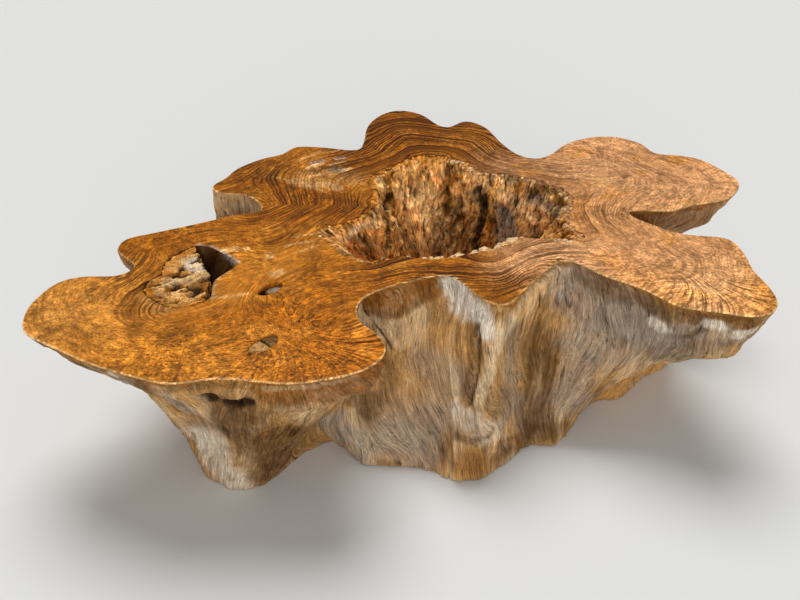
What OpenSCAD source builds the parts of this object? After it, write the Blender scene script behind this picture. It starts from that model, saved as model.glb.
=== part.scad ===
// Coffee table cut from one hollow teak root: a flat polished top with a lobed natural
// edge, flanks that flow down to a few broad feet, and felt pads let into the sole.

/* [Overall size] */
// Length of the top, from the left tip to the right lobe
table_length = 1830; // [1500:10:2200]
// Width of the top, from the front lobe to the back lobe
table_width = 1290; // [1050:10:1550]
// Height of the polished top above the floor
table_height = 420; // [380:5:480]

/* [Edge] */
// Rounding between the polished top and the natural edge
edge_round = 4; // [2:0.5:8]
// Share of the height at which each flank is drawn towards its foot
waist_share = 0.62; // [0.5:0.01:0.75]
// Depth of the long flutes that run down the flanks
flute_depth = 4; // [0:0.5:8]
// Number of long flutes round the flanks
flute_count = 61; // [41:2:81]

/* [Heart hollow] */
// Length of the hollow where it opens in the sole
throat_length = 290; // [200:5:340]
// Width of the hollow where it opens in the sole
throat_width = 210; // [140:5:250]
// Depth of the broad ridges that run down the wall of the hollow
ridge_depth = 10; // [0:1:14]
// Number of broad ridges round the wall of the hollow
ridge_count = 17; // [9:1:23]
// Depth of the ragged ribs that lie over the broad ridges
rib_depth = 9; // [0:1:12]
// Number of ragged ribs round the wall of the hollow
rib_count = 43; // [31:2:49]

/* [Burl pocket] */
// Depth of the pocket in the left lobe
pocket_depth = 190; // [120:5:230]
// How far the dead burl sits below the polished top between its humps
burl_drop = 12; // [9:1:40]
// Share of its size that the pocket keeps at its floor
pocket_taper = 0.66; // [0.5:0.01:0.8]
// Gap between a dead knot or burl and the wood that holds it
knot_gap = 0.4; // [0.2:0.1:1]

/* [Dead knots] */
// Depth of the sockets that hold the two small dead knots
knot_depth = 38; // [20:1:60]
// How far the front knot sits below the polished top
knot_drop = 2; // [0:0.5:6]
// How far the side knot sits below the polished top
side_knot_drop = 12; // [6:1:18]

/* [Felt pads] */
// Diameter of each felt pad
pad_d = 50; // [30:1:60]
// Thickness of each felt pad
pad_t = 5; // [3:0.5:8]
// How far each pad stands out of the sole
pad_proud = 2; // [1:0.5:3]
// Gap between a pad and the edge of its seat
pad_gap = 0.5; // [0.2:0.1:1]
// Diameter of the shank of each pad screw
screw_d = 4; // [3:0.5:5]
// Length of each pad screw, head included
screw_length = 30; // [20:1:50]
// Diameter of the head of each pad screw
head_d = 8; // [7:0.5:10]
// How far each screw head sits inside the felt
head_sink = 1; // [0.5:0.1:1.5]
// Radial gap round each screw in its pilot hole and pad
screw_gap = 0.1; // [0.05:0.05:0.3]

/* [Hidden] */
$fn = 48;
cut = 20;            // how far a cutting shape runs past the face that it cuts
apex = 300;          // height of the closing cones, which the trim removes
flank_steps = 9;     // rings between the lower edge of the lip and the foot
hollow_steps = 12;   // rings down the heart hollow
pocket_steps = 5;    // rings down the burl pocket
edge_fine = 3;       // lines down the flank for each row of the natural edge
mouth_fine = 2;      // lines down the pocket for each row of its mouth
rim_fine = 6;        // lines down the hollow for each point of its rim
probe = 0.1;         // part of a place to each side that tells which way is out
heel_reach = 1.6;    // how far the wood under a lifted foot is drawn in, in times its lift
hollow_ease = 0.8;   // below one, the hollow narrows faster near its rim
ridge_fade = 3;      // the ridges reach their full depth at one part in this many of the way down
ridge_turn = 120;    // how far ridges and flutes lean on their way down, in degrees of their own wave
ridge_swell = 0.4;   // share by which the ridges grow and shrink round the hollow
ridge_swells = 5;    // how often they do so
rib_swell = 0.5;     // the same for the ribs
rib_swells = 8;
flute_swell = 0.5;   // the same for the flutes in the flanks
flute_swells = 11;
knot_bulge = 0.06;   // how far the outline of a knot departs from an ellipse
tip_d = 1;           // diameter of the point of a screw

// The natural edge, counter-clockwise from the left tip, in millimetres from the middle of
// the top. A long row also says how the flank leaves the edge there:
// [x, y, lip height, lip slope, foot x, foot y, lift of the foot, waist pull]
edge_rows = [
  // left lobe, thin at its tip
  [-915, -395, 34, 18, -565, -350, 0, 0.16], [-900, -460],
  [-845, -500, 32, 16, -560, -400, 0, 0.18], [-740, -568],
  [-640, -612, 32, 12, -552, -446, 0, 0.26],
  [-540, -645, 36, 6, -530, -492, 0, 0.42],
  // front lobe, over the left foot
  [-450, -630, 54, 8, -492, -532, 0, 0.46], [-400, -627],
  [-290, -645, 90, 16, -430, -558, 0, 0.32],
  [-190, -630, 88, 16, -366, -542, 0, 0.32],
  [-110, -598, 80, 18, -322, -486, 0, 0.36], [-70, -550, 72, 16, -306, -456, 22, 0.42],
  [-67, -510, 62, 14, -280, -440, 40, 0.52], [-92, -462, 50, 10, -240, -430, 46, 0.62],
  [-127, -425, 34, 6, -196, -438, 38, 0.68],
  // front bay
  [-135, -365, 18, 2, -146, -464, 4, 0.68],
  [-105, -318, 14, 0, -100, -478, 0, 0.60], [-20, -275, 14, 0, -36, -484, 0, 0.50],
  [45, -248, 14, 0, 28, -495, 0, 0.42], [90, -247, 14, 0, 72, -518, 0, 0.36],
  [120, -280], [145, -325, 16, 0, 104, -530, 0, 0.26],
  // small nose above the widest foot
  [185, -360, 18, 4, 130, -532, 0, 0.22], [225, -355, 16, 4, 165, -522, 0, 0.36],
  [270, -297, 14, 0, 200, -498, 0, 0.50],
  [330, -220, 14, 0, 244, -452, 0, 0.46], [370, -180, 14, 0, 284, -410, 0, 0.36],
  [410, -192, 14, 0, 318, -408, 0, 0.34], [465, -245, 22, 0, 350, -410, 0, 0.36],
  [545, -297, 54, 2, 380, -396, 0, 0.34], [595, -345, 104, 8, 398, -370, 0, 0.34],
  // right lobe
  [630, -372, 136, 14, 410, -345, 0, 0.34], [715, -393, 160, 16, 428, -308, 0, 0.36],
  [790, -410, 146, 44, 452, -270, 0, 0.36], [840, -392, 118, 54, 484, -240, 0, 0.36],
  [863, -350, 84, 52, 516, -234, 0, 0.36],
  [860, -290, 98, 62, 550, -232, 0, 0.38], [840, -215],
  [838, -150, 92, 50, 636, -150, 0, 0.30], [820, -85],
  [775, -68, 88, 24, 712, -98, 0, 0.30], [700, -55, 70, 8, 716, -40, 0, 0.30],
  [640, -18], [588, 25, 40, 2, 650, 22, 0, 0.40],
  // slot between the two right lobes
  [580, 55, 34, 2, 606, 72, 0, 0.40], [650, 53], [695, 55, 60, 24, 580, 112, 30, 0.30],
  // back right lobe
  [740, 80], [830, 100, 100, 40, 590, 158, 0, 0.30], [885, 140, 96, 56, 600, 188, 0, 0.30],
  [915, 205, 72, 44, 606, 215, 0, 0.30], [890, 262],
  [840, 332, 76, 40, 580, 280, 0, 0.30], [775, 360], [710, 372, 80, 24, 520, 318, 0, 0.34],
  [680, 430], [610, 473, 80, 30, 470, 352, 0, 0.34], [530, 468],
  [455, 430, 60, 14, 404, 350, 0, 0.36], [405, 368],
  [355, 340, 20, 2, 340, 326, 38, 0.40], [305, 368],
  // back lobe
  [265, 440, 50, 10, 262, 372, 0, 0.36], [225, 535],
  [165, 575, 64, 18, 172, 452, 0, 0.36], [110, 533], [75, 555, 60, 10, 80, 486, 0, 0.36],
  [35, 615], [-30, 645, 72, 22, -12, 520, 0, 0.34], [-90, 620],
  [-135, 545, 70, 18, -96, 455, 0, 0.36], [-145, 440],
  [-165, 390, 40, 4, -170, 372, 46, 0.44], [-245, 405],
  [-340, 413, 84, 14, -300, 346, 0, 0.46], [-382, 365],
  [-435, 340, 96, 14, -372, 300, 0, 0.50],
  // back left lobe
  [-500, 285], [-530, 225, 110, 10, -440, 222, 0, 0.56],
  [-560, 185, 120, 8, -452, 168, 0, 0.60], [-530, 145],
  [-450, 130, 110, 4, -428, 108, 0, 0.60], [-408, 60, 60, 2, -420, 44, 36, 0.50],
  // small left lobe
  [-470, 40], [-570, -5, 44, 8, -476, -34, 0, 0.40], [-680, -50],
  [-745, -80, 40, 10, -528, -96, 0, 0.34], [-757, -130],
  [-725, -170, 36, 8, -560, -166, 0, 0.34], [-695, -205, 34, 4, -572, -212, 0, 0.34],
  [-730, -241], [-810, -243, 34, 12, -576, -262, 0, 0.26], [-870, -270],
  [-905, -335, 34, 18, -572, -310, 0, 0.20]
];

// The rim of the heart hollow in the polished top, counter-clockwise from its left end
rim_rows = [
  [-242, -45], [-214, -90], [-178, -150], [-110, -182], [-40, -155], [50, -170],
  [146, -142], [216, -112], [268, -75], [340, -80], [400, -84], [428, -66], [404, -10],
  [412, 60], [428, 120], [400, 165], [340, 212], [262, 238], [168, 270], [122, 322],
  [40, 340], [-20, 315], [-62, 262], [-104, 228], [-104, 150], [-110, 60], [-165, 5]
];
throat_centre = [140, 10];

// Rents in the wall of the hollow, written as the folds are, with places along the rim;
// below zero the wood stands out into the hollow
rents = [
  // the two deep slots, and the long ridge between them
  [0.08, 24.4, 0.66, 25.2, 0.55, 26], [0.05, 17.9, 0.80, 17.6, 0.55, 28],
  [0.10, 21.3, 0.66, 20.3, 0.60, -16],
  // back wall
  [0.04, 22.7, 0.60, 22.4, 0.45, 16], [0.06, 23.5, 0.80, 23.6, 0.50, -14],
  [0.04, 19.1, 0.55, 18.9, 0.45, 16], [0.10, 16.6, 0.80, 16.5, 0.55, -14],
  [0.05, 15.3, 0.75, 15.0, 0.50, 16], [0.10, 13.6, 0.85, 13.4, 0.60, -14],
  [0.06, 12.1, 0.70, 11.9, 0.45, 14],
  // front wall and the two ends
  [0.08, 9.3, 0.80, 9.4, 0.55, 12], [0.10, 7.2, 0.85, 7.3, 0.60, -12],
  [0.08, 5.2, 0.80, 5.1, 0.50, 14], [0.10, 3.4, 0.85, 3.5, 0.55, -12],
  [0.05, 1.5, 0.75, 1.8, 0.50, 14]
];

// The mouth of the pocket in the left lobe, counter-clockwise from its left end
pocket_rows = [
  [-655, -305], [-630, -336], [-592, -366], [-545, -368], [-508, -350], [-487, -333],
  [-490, -297], [-487, -260], [-460, -226], [-441, -189], [-478, -153], [-518, -121],
  [-556, -112], [-590, -142], [-612, -170], [-625, -205], [-622, -236], [-646, -264]
];
// The part of the pocket that the dead burl leaves open
shaft_rows = [
  [-562, -100], [-552, -135], [-539, -179], [-515, -222], [-502, -264], [-505, -313],
  [-500, -345], [-420, -345], [-420, -100]
];
// Humps of the burl: [x, y, radius, how far its crown sits below the polished top]
burl_humps = [
  [-570, -195, 42, 4], [-600, -235, 36, 7], [-545, -245, 36, 8], [-560, -290, 44, 5],
  [-610, -320, 46, 4], [-530, -325, 38, 8], [-642, -300, 28, 7], [-592, -160, 26, 6]
];

// Folds in the flanks: [share of the way down and place along the edge where the fold
// starts, the same where it ends, half width in places, height; below zero is a groove]
folds = [
  // left foot: a root strand, and the cavity below the front lobe
  [0.05, 4.6, 0.80, 3.8, 1.3, 16], [0.10, 2.6, 0.80, 2.2, 1.1, -14],
  [0.02, 6.3, 0.34, 6.6, 1.2, -30], [0.06, 8.4, 0.60, 8.6, 1.0, -12],
  [0.10, 9.8, 0.95, 9.4, 1.2, 12],
  // front bay: broad bulge, dark groove, bright ridge and burr
  [0.08, 17.4, 0.98, 17.2, 2.2, 22], [0.10, 20.3, 0.74, 21.3, 0.9, -30],
  [0.00, 25.2, 0.50, 22.4, 1.0, 20], [0.30, 22.6, 0.95, 22.8, 0.9, 16],
  [0.55, 20.6, 1.00, 20.8, 1.6, 16], [0.20, 24.3, 0.95, 24.6, 0.9, -14],
  [0.08, 26.1, 0.98, 25.9, 0.8, 10], [0.10, 28.2, 0.95, 28.2, 1.1, -14],
  [0.20, 30.0, 0.98, 30.2, 1.2, 12],
  // right foot, back lobes and left side
  [0.10, 37.0, 0.98, 37.6, 1.2, 16], [0.20, 39.4, 0.95, 39.2, 0.9, -14],
  [0.10, 50.4, 0.95, 50.0, 1.5, 16], [0.15, 53.2, 0.90, 53.4, 1.2, -16],
  [0.10, 56.2, 0.95, 56.0, 1.5, 14], [0.10, 63.4, 0.98, 63.2, 1.2, 14],
  [0.10, 65.6, 0.80, 65.8, 0.9, -18], [0.10, 68.0, 0.98, 68.2, 1.5, 16],
  [0.10, 73.0, 0.98, 73.2, 1.3, 16], [0.10, 75.4, 0.95, 75.2, 1.0, -16],
  [0.10, 77.6, 0.98, 77.4, 1.2, 14], [0.10, 84.0, 0.95, 84.4, 1.2, -12],
  [0.05, 87.6, 0.90, 88.0, 1.4, 16], [0.10, 91.4, 0.85, 91.8, 1.3, -14]
];

front_knot_at = [-342, -509];
front_knot_size = [84, 42];
front_knot_turn = 45;
side_knot_at = [-348, -300];
side_knot_size = [72, 36];
side_knot_turn = 42;

pad_places = [[-452, -478], [104, -440], [330, -335], [612, -110], [490, 225],
              [0, 425], [-385, 190]];

// Scale from the lengths in the rows to the size that is asked for
rows_length = max([for (r = edge_rows) r[0]]) - min([for (r = edge_rows) r[0]]);
rows_width = max([for (r = edge_rows) r[1]]) - min([for (r = edge_rows) r[1]]);
fit = [table_length / rows_length, table_width / rows_width];
function to_size(p) = [p[0] * fit[0], p[1] * fit[1]];

sole_z = pad_proud;
seat_depth = pad_t - pad_proud;

// Catmull-Rom curve between b and c, for rows of any length
function curve(a, b, c, d, t) =
  0.5 * (2 * b + (c - a) * t + (2 * a - 5 * b + 4 * c - d) * t * t
         + (3 * b - a - 3 * c + d) * t * t * t);
function wrapped(rows, i) = rows[(i + 2 * len(rows)) % len(rows)];
function along(rows, s) =
  let (i = floor(s), t = s - i)
  curve(wrapped(rows, i - 1), wrapped(rows, i), wrapped(rows, i + 1), wrapped(rows, i + 2), t);

edge_xy = [for (r = edge_rows) [r[0], r[1]]];
edge_count = len(edge_rows);
measured = [for (i = [0 : edge_count - 1]) if (len(edge_rows[i]) > 2) i];
flank_rows = [for (i = measured) [for (k = [2 : 7]) edge_rows[i][k]]];
last_measured = len(measured) - 1;

// The flank's values at a place on the edge, between the two nearest long rows
function flank_at(s) =
  let (before = [for (k = [0 : last_measured]) if (measured[k] <= s) k],
       k = before[len(before) - 1],
       from = measured[k],
       to = k == last_measured ? measured[0] + edge_count : measured[k + 1])
  along(flank_rows, k + (s - from) / (to - from));

function total(values) = values * [for (v = values) 1];
function bell(x) = abs(x) < 1 ? (1 + cos(180 * x)) / 2 : 0;

// How far a list of folds pushes the wood at a place along its line, a share of the way down
function push(list, s, u) =
  total([for (f = list)
    let (t = (u - f[0]) / (f[2] - f[0]), middle = f[1] + (f[3] - f[1]) * t)
    t > 0 && t < 1 ? f[5] * sin(180 * t) * bell((s - middle) / f[4]) : 0]);

// A wave round the wood whose height grows and shrinks
function wave(depth, count, swell, swells, angle, v) =
  depth * sin(count * angle + ridge_turn * v) * (1 - swell + swell * sin(swells * angle));

// Flutes fade out towards the lip and the foot
function flute(s, u) =
  sin(180 * u) * wave(flute_depth, flute_count, flute_swell, flute_swells, 360 * s / edge_count, u);

function outward(rows, s) =
  let (ahead = to_size(along(rows, s + probe)), behind = to_size(along(rows, s - probe)),
       d = ahead - behind)
  [d[1], -d[0]] / norm(d);
function at_height(p, z) = [p[0], p[1], z];

// One line of points from above the top, over the edge and down the flank to below the sole
function flank_line(s) =
  let (out = outward(edge_xy, s),
       f = flank_at(s),
       edge = to_size(along(edge_xy, s)),
       lip = edge - out * f[1],
       foot = to_size([f[2], f[3]]),
       foot_z = sole_z + max(f[4], 0),
       lip_z = table_height - f[0],
       waist = foot + (edge - foot) * f[5],
       waist_z = table_height * waist_share,
       away = (foot - to_size(throat_centre)) / norm(foot - to_size(throat_centre)),
       heel = foot - away * max(f[4], 0) * heel_reach)
  concat(
    [at_height(edge - out * edge_round, table_height + cut),
     at_height(edge - out * edge_round, table_height),
     at_height(edge, table_height - edge_round)],
    [for (k = [0 : flank_steps])
      let (u = k / flank_steps, a = (1 - u) * (1 - u), b = 2 * u * (1 - u), c = u * u,
           p = a * lip + b * waist + c * foot + away * (push(folds, s, u) + flute(s, u)))
      at_height(p, a * lip_z + b * waist_z + c * foot_z)],
    [at_height(heel, sole_z - cut)]);

// A closed skin over lines that all run from the top down, with a cone at each end
module skin(lines, top_apex, bottom_apex) {
  n = len(lines);
  m = len(lines[0]);
  points = concat([for (l = lines) each l], [top_apex, bottom_apex]);
  faces = concat(
    [for (i = [0 : n - 1], j = [0 : m - 2])
      let (a = i * m + j, b = ((i + 1) % n) * m + j)
      each [[a, b, b + 1], [a, b + 1, a + 1]]],
    [for (i = [0 : n - 1]) [i * m, n * m, ((i + 1) % n) * m]],
    [for (i = [0 : n - 1]) [i * m + m - 1, ((i + 1) % n) * m + m - 1, n * m + 1]]);
  polyhedron(points = points, faces = faces, convexity = 10);
}

module outer_skin() {
  centre = to_size(throat_centre);
  skin([for (i = [0 : edge_count * edge_fine - 1]) flank_line(i / edge_fine)],
       at_height(centre, table_height + apex), at_height(centre, sole_z - apex));
}

// Ridges and ribs fade in below the rim, so that the rim keeps its own line
function ridge(angle, v) =
  min(1, ridge_fade * v) * (wave(ridge_depth, ridge_count, ridge_swell, ridge_swells, angle, v)
                            + wave(rib_depth, rib_count, rib_swell, rib_swells, angle, v));

module heart_hollow() {
  rim_count = len(rim_rows);
  centre = to_size(throat_centre);
  lines = [for (i = [0 : rim_count * rim_fine - 1])
    let (s = i / rim_fine, rim = to_size(along(rim_rows, s)),
         angle = atan2(rim[1] - centre[1], rim[0] - centre[0]),
         throat = centre + [cos(angle) * throat_length / 2, sin(angle) * throat_width / 2])
    concat(
      [at_height(rim, table_height + cut)],
      [for (k = [0 : hollow_steps])
        let (v = k / hollow_steps, ease = pow(v, hollow_ease),
             carved = ridge(angle, v) + push(rents, s, v),
             p = rim + (throat - rim) * ease + [cos(angle), sin(angle)] * carved)
        at_height(p, table_height + (sole_z - cut - table_height) * v)])];
  skin(lines, at_height(centre, table_height + apex), at_height(centre, sole_z - apex));
}

function middle_of(values) = (max(values) + min(values)) / 2;
pocket_middle = [for (k = [0, 1]) middle_of([for (p = pocket_rows) p[k]])];

// The pocket, or the room in it that stays a gap away from its walls
module pocket(gap) {
  count = len(pocket_rows);
  middle = to_size(pocket_middle);
  floor_z = table_height - pocket_depth + gap;
  lines = [for (i = [0 : count * mouth_fine - 1])
    let (s = i / mouth_fine, mouth = to_size(along(pocket_rows, s)) - outward(pocket_rows, s) * gap)
    concat(
      [at_height(mouth, table_height + cut)],
      [for (k = [0 : pocket_steps])
        let (v = k / pocket_steps, share = 1 - (1 - pocket_taper) * v * v)
        at_height(middle + (mouth - middle) * share, table_height + (floor_z - table_height) * v)])];
  skin(lines, at_height(middle, table_height + apex), at_height(middle, floor_z));
}

module oval(size, turn, gap) {
  points = [for (a = [0 : 15 : 345])
    [(size[0] / 2 - gap) * cos(a) * (1 + knot_bulge * sin(3 * a)), (size[1] / 2 - gap) * sin(a)]];
  rotate(turn) polygon(points);
}

module knot_socket(at, size, turn) {
  translate(at_height(to_size(at), table_height - knot_depth))
    linear_extrude(knot_depth + cut) oval(size, turn, 0);
}

module knot(at, size, turn, drop) {
  translate(at_height(to_size(at), table_height - knot_depth + knot_gap))
    linear_extrude(knot_depth - knot_gap - drop) oval(size, turn, knot_gap);
}

module pad_seat(at) {
  p = to_size(at);
  translate([p[0], p[1], sole_z - cut]) cylinder(h = seat_depth + cut, d = pad_d + 2 * pad_gap);
  translate([p[0], p[1], sole_z]) cylinder(h = screw_length + head_sink, d = screw_d + 2 * screw_gap);
}

module root_body() {
  color("peru")
  difference() {
    intersection() {
      outer_skin();
      translate([-table_length, -table_width, sole_z])
        cube([2 * table_length, 2 * table_width, table_height - sole_z]);
    }
    heart_hollow();
    pocket(0);
    knot_socket(front_knot_at, front_knot_size, front_knot_turn);
    knot_socket(side_knot_at, side_knot_size, side_knot_turn);
    for (at = pad_places) pad_seat(at);
  }
}

module burl_knot() {
  color("tan")
  difference() {
    intersection() {
      pocket(knot_gap);
      union() {
        translate(at_height(-[table_length, table_width], table_height - burl_drop - pocket_depth))
          cube([2 * table_length, 2 * table_width, pocket_depth]);
        for (h = burl_humps)
          translate(at_height(to_size(h), table_height - h[3] - h[2])) sphere(h[2]);
      }
    }
    translate([0, 0, table_height - pocket_depth])
      linear_extrude(pocket_depth + cut) polygon([for (p = shaft_rows) to_size(p)]);
  }
}

module front_knot() {
  color("burlywood") knot(front_knot_at, front_knot_size, front_knot_turn, knot_drop);
}

module side_knot() {
  color("gray") knot(side_knot_at, side_knot_size, side_knot_turn, side_knot_drop);
}

module head_cone(gap) {
  cylinder(h = (head_d - screw_d) / 2, d1 = head_d + 2 * gap, d2 = screw_d + 2 * gap);
}

module felt_pad(at) {
  color("dimgray")
  translate(at_height(to_size(at), 0))
    difference() {
      cylinder(h = pad_t, d = pad_d);
      translate([0, 0, -1]) cylinder(h = head_sink + 1, d = head_d + 2 * screw_gap);
      translate([0, 0, head_sink]) head_cone(screw_gap);
      cylinder(h = pad_t + 1, d = screw_d + 2 * screw_gap);
    }
}

module pad_screw() {
  translate([0, 0, head_sink]) {
    head_cone(0);
    cylinder(h = screw_length - screw_d, d = screw_d);
    translate([0, 0, screw_length - screw_d]) cylinder(h = screw_d, d1 = screw_d, d2 = tip_d);
  }
}

module pad_screws() {
  color("silver") for (at = pad_places) translate(at_height(to_size(at), 0)) pad_screw();
}

root_body();
burl_knot();
front_knot();
side_knot();
felt_pad(pad_places[0]);  // pad_left_foot
felt_pad(pad_places[1]);  // pad_front
felt_pad(pad_places[2]);  // pad_front_right
felt_pad(pad_places[3]);  // pad_right_foot
felt_pad(pad_places[4]);  // pad_back_right
felt_pad(pad_places[5]);  // pad_back
felt_pad(pad_places[6]);  // pad_back_left
pad_screws();
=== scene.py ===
"""Looks of a coffee table cut from one teak root: polished top, weathered flanks, decayed heart."""
import math
from itertools import product

import bmesh
import bpy
import numpy as np
from bpy.props import FloatProperty, FloatVectorProperty, PointerProperty
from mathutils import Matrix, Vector, geometry, kdtree
from mathutils.bvhtree import BVHTree


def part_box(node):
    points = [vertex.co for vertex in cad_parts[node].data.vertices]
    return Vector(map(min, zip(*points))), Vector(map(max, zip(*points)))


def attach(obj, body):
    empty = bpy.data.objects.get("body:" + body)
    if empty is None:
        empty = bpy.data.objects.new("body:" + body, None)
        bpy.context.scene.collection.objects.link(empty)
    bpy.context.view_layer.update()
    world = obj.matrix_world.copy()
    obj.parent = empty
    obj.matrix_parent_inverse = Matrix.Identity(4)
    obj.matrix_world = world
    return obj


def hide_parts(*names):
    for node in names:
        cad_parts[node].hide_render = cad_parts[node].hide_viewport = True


bl_info = {
    "name": "Teak root coffee table",
    "version": (1, 0, 0),
    "blender": (4, 5, 0),
    "location": "3D View > Sidebar > Teak table",
    "description": "Builds the detailed pieces and finishes of a teak root coffee table",
    "category": "Object",
}

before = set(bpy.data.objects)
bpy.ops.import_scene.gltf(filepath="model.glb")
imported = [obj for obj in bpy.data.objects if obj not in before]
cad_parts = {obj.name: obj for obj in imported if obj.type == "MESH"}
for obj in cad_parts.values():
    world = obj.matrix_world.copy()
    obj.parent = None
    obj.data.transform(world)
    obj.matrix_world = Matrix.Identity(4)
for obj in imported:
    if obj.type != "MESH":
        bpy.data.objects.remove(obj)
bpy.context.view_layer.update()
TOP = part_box("root_body")[1].z
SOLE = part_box("root_body")[0].z
FACE = 420  # height of the polished face in the tables of marks, in millimetres
RIM_POINTS = 560  # places round the rim of the hollow
MOUTH_POINTS = 260  # places round the mouth of the pocket
SPLIT = 37  # rows of the flank above the seam between its two pieces
SPREAD_PASSES = 1500  # passes that lay a skin out flat
WELD = 1e-5  # corners of the CAD mesh that lie closer than this are one
LEVEL = 2e-5  # how near a point has to be to count as in the plane of the face or of the sole
FLUSH = 0.0006  # how far what is set into the face stays below it, so that the two never flicker


def linear(code):
    """An sRGB hex colour as linear red, green and blue."""
    parts = [int(code[i:i + 2], 16) / 255 for i in (0, 2, 4)]
    return tuple(c / 12.92 if c <= 0.04045 else ((c + 0.055) / 1.055) ** 2.4 for c in parts)


def length(name, text, value):
    """A size for the panel, in metres."""
    kind = {"unit": "LENGTH", "subtype": "DISTANCE"}
    return FloatProperty(name=name, description=text, default=value, min=0.0, **kind)


def tone(name, text, code):
    """A colour for the panel."""
    kind = {"max": 1.0, "subtype": "COLOR"}
    return FloatVectorProperty(name=name, description=text, default=linear(code), min=0.0, **kind)


class TeakSizes(bpy.types.PropertyGroup):
    """Sizes of the detail that the solids leave out"""

    edge_round: length("Edge round", "Radius between the polished top and the natural edge", 0.004)
    slab: length("Slab", "Thickness of the polished skin under the top", 0.018)
    flute: length("Flutes", "Depth of the long flutes in the flanks", 0.0022)
    fibre: length("Fibres", "Depth of the fine raised grain of the flanks", 0.0009)
    heart_rib: length("Heart ribs", "Depth of the ragged ribs in the heart hollow", 0.0052)
    crumb: length("Crumbs", "Usual size of the crumbs along the rim of the hollow", 0.014)


class TeakColours(bpy.types.PropertyGroup):
    """Colours of the woods, some also used as painted shade, highlight and sheen"""

    golden: tone("Golden", "Polished sapwood", "CA822E")
    amber: tone("Amber", "Polished heartwood", "B8721F")
    cinnamon: tone("Cinnamon", "Deep orange heartwood", "A05A0B")
    chestnut: tone("Chestnut", "Polished wood between dark rings", "784208")
    # pink wood with the painted sheen of the satin finish on the right lobes
    salmon_sheen: tone("Salmon", "Polished wood with a pink cast", "E0A673")
    blush: tone("Blush", "Polished wood with a grey rose cast", "A27654")
    # straw is pale figure, and also painted highlight: along the polished edge, on raised ribs of the hollow
    # and on burl crests
    straw: tone("Straw", "Pale figure and polished edge", "ECBC7C")
    walnut: tone("Walnut", "Dark growth lines", "40200A")
    tan: tone("Tan", "Weathered flank", "B98B54")
    # sand is pale wood, and also painted highlight on the raised relief and ridges of the flank and burl
    sand: tone("Sand", "Dry ridge of the flank", "DDBE94")
    bronze: tone("Bronze", "Sheltered wood under the lip", "86501A")
    silver: tone("Silver", "Bleached flank", "E8DCC8")
    # umber is dark wood, and also painted shade under the front lobe's lip and along a groove of the flank
    umber: tone("Umber", "Damp or sheltered flank", "644423")
    slate: tone("Slate", "Cold grey weathering", "9B9083")
    honey: tone("Honey", "Fresh fibres in the heart hollow", "E2A65C")
    # painted shade: the dark at the bottom of cracks, checks, holes, slots and crevices
    crevice_shade: tone("Soot", "Bottom of cracks and holes", "24170C")


def sizes():
    """The sizes of the detail, as the panel has them."""
    return bpy.context.scene.teak_sizes


def colour(name):
    """A colour of the panel as an array."""
    return np.array(getattr(bpy.context.scene.teak_colours, name)[:])


# Noise and small array helpers

def noise(points, seed=0):
    """Gradient noise, about -1 to 1, at an array of points; each seed gives another pattern."""
    cell = np.floor(points).astype(np.int64)
    part = points - cell
    ease = part * part * part * (part * (part * 6 - 15) + 10)
    total = np.zeros(points.shape[:-1])
    for corner in product((0, 1), repeat=3):
        at = cell + np.array(corner)
        bits = seed * 40503 + 977
        for k, prime in enumerate((73856093, 19349663, 83492791)):
            bits = bits ^ (at[..., k] * prime)
        bits = (bits * 1103515245 + 12345) & 0x7FFFFFFF
        bits = ((bits >> 11) ^ bits) * 1103515245 & 0x7FFFFFFF
        away = part - np.array(corner)
        slope = sum(away[..., k] * (((bits >> (7 * k + 3)) & 127) / 63.5 - 1) for k in range(3))
        weight = 1.0
        for k in range(3):
            weight = weight * (ease[..., k] if corner[k] else 1 - ease[..., k])
        total += slope * weight
    return total * 1.5


def layers(points, count=3, seed=0, gain=0.5):
    """Several sizes of noise on top of each other."""
    total, weight, whole = 0.0, 1.0, 0.0
    for k in range(count):
        total = total + weight * noise(points * 2.03 ** k + 17.3 * k, seed + k)
        whole += weight
        weight *= gain
    return total / whole


def ridged(points, count=3, seed=0):
    """Noise with sharp crests, 0 to 1."""
    total, weight, whole = 0.0, 1.0, 0.0
    for k in range(count):
        crest = np.abs(noise(points * 2.1 ** k + 9.1 * k, seed + k))
        total = total + weight * (1 - np.minimum(1, crest * 1.8))
        whole += weight
        weight *= 0.5
    return total / whole


def level(field):
    """A field with no mean and a spread of one, and its tails cut off."""
    return np.clip((field - field.mean()) / field.std(), -2.6, 2.6)


def smooth(low, high, value):
    """A soft step from 0 at low to 1 at high."""
    part = np.clip((value - low) / (high - low), 0, 1)
    return part * part * (3 - 2 * part)


def mix(one, other, share):
    """One colour moved towards another by a share at each point."""
    return one + (other - one) * np.asarray(share)[..., None]


def washed(base, washes):
    """Lays washes of colour over a colour, each with its share at each point."""
    for name, share in washes:
        base = mix(base, colour(name), share)
    return base


def near(points, path):
    """Distance in metres to a line through places in millimetres, on the face where they have no height."""
    path = [np.array((*place, FACE)[:3], float) / 1000 for place in path]
    if len(path) == 1:
        return np.linalg.norm(points - path[0], axis=-1)
    best = None
    for a, b in zip(path, path[1:]):
        along = b - a
        t = np.clip(((points - a) @ along) / max(along @ along, 1e-12), 0, 1)
        gap = np.linalg.norm(points - a - t[..., None] * along, axis=-1)
        best = gap if best is None else np.minimum(best, gap)
    return best


def beside(field, pairs, degree):
    """The mean of a field over the points that are tied to each point."""
    a, b = pairs.T
    count = len(field)
    return (np.bincount(a, field[b], count) + np.bincount(b, field[a], count)) / degree


def tree_of(ring):
    """A search tree of the places of a line, seen from above."""
    tree = kdtree.KDTree(len(ring))
    for k, place in enumerate(ring):
        tree.insert((place[0], place[1], 0), k)
    tree.balance()
    return tree


def distances(tree, points):
    """Distance from each point to the nearest place of a tree."""
    return np.array([tree.find(p)[2] for p in points])


# Skins of the CAD root, unrolled into even grids

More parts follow.
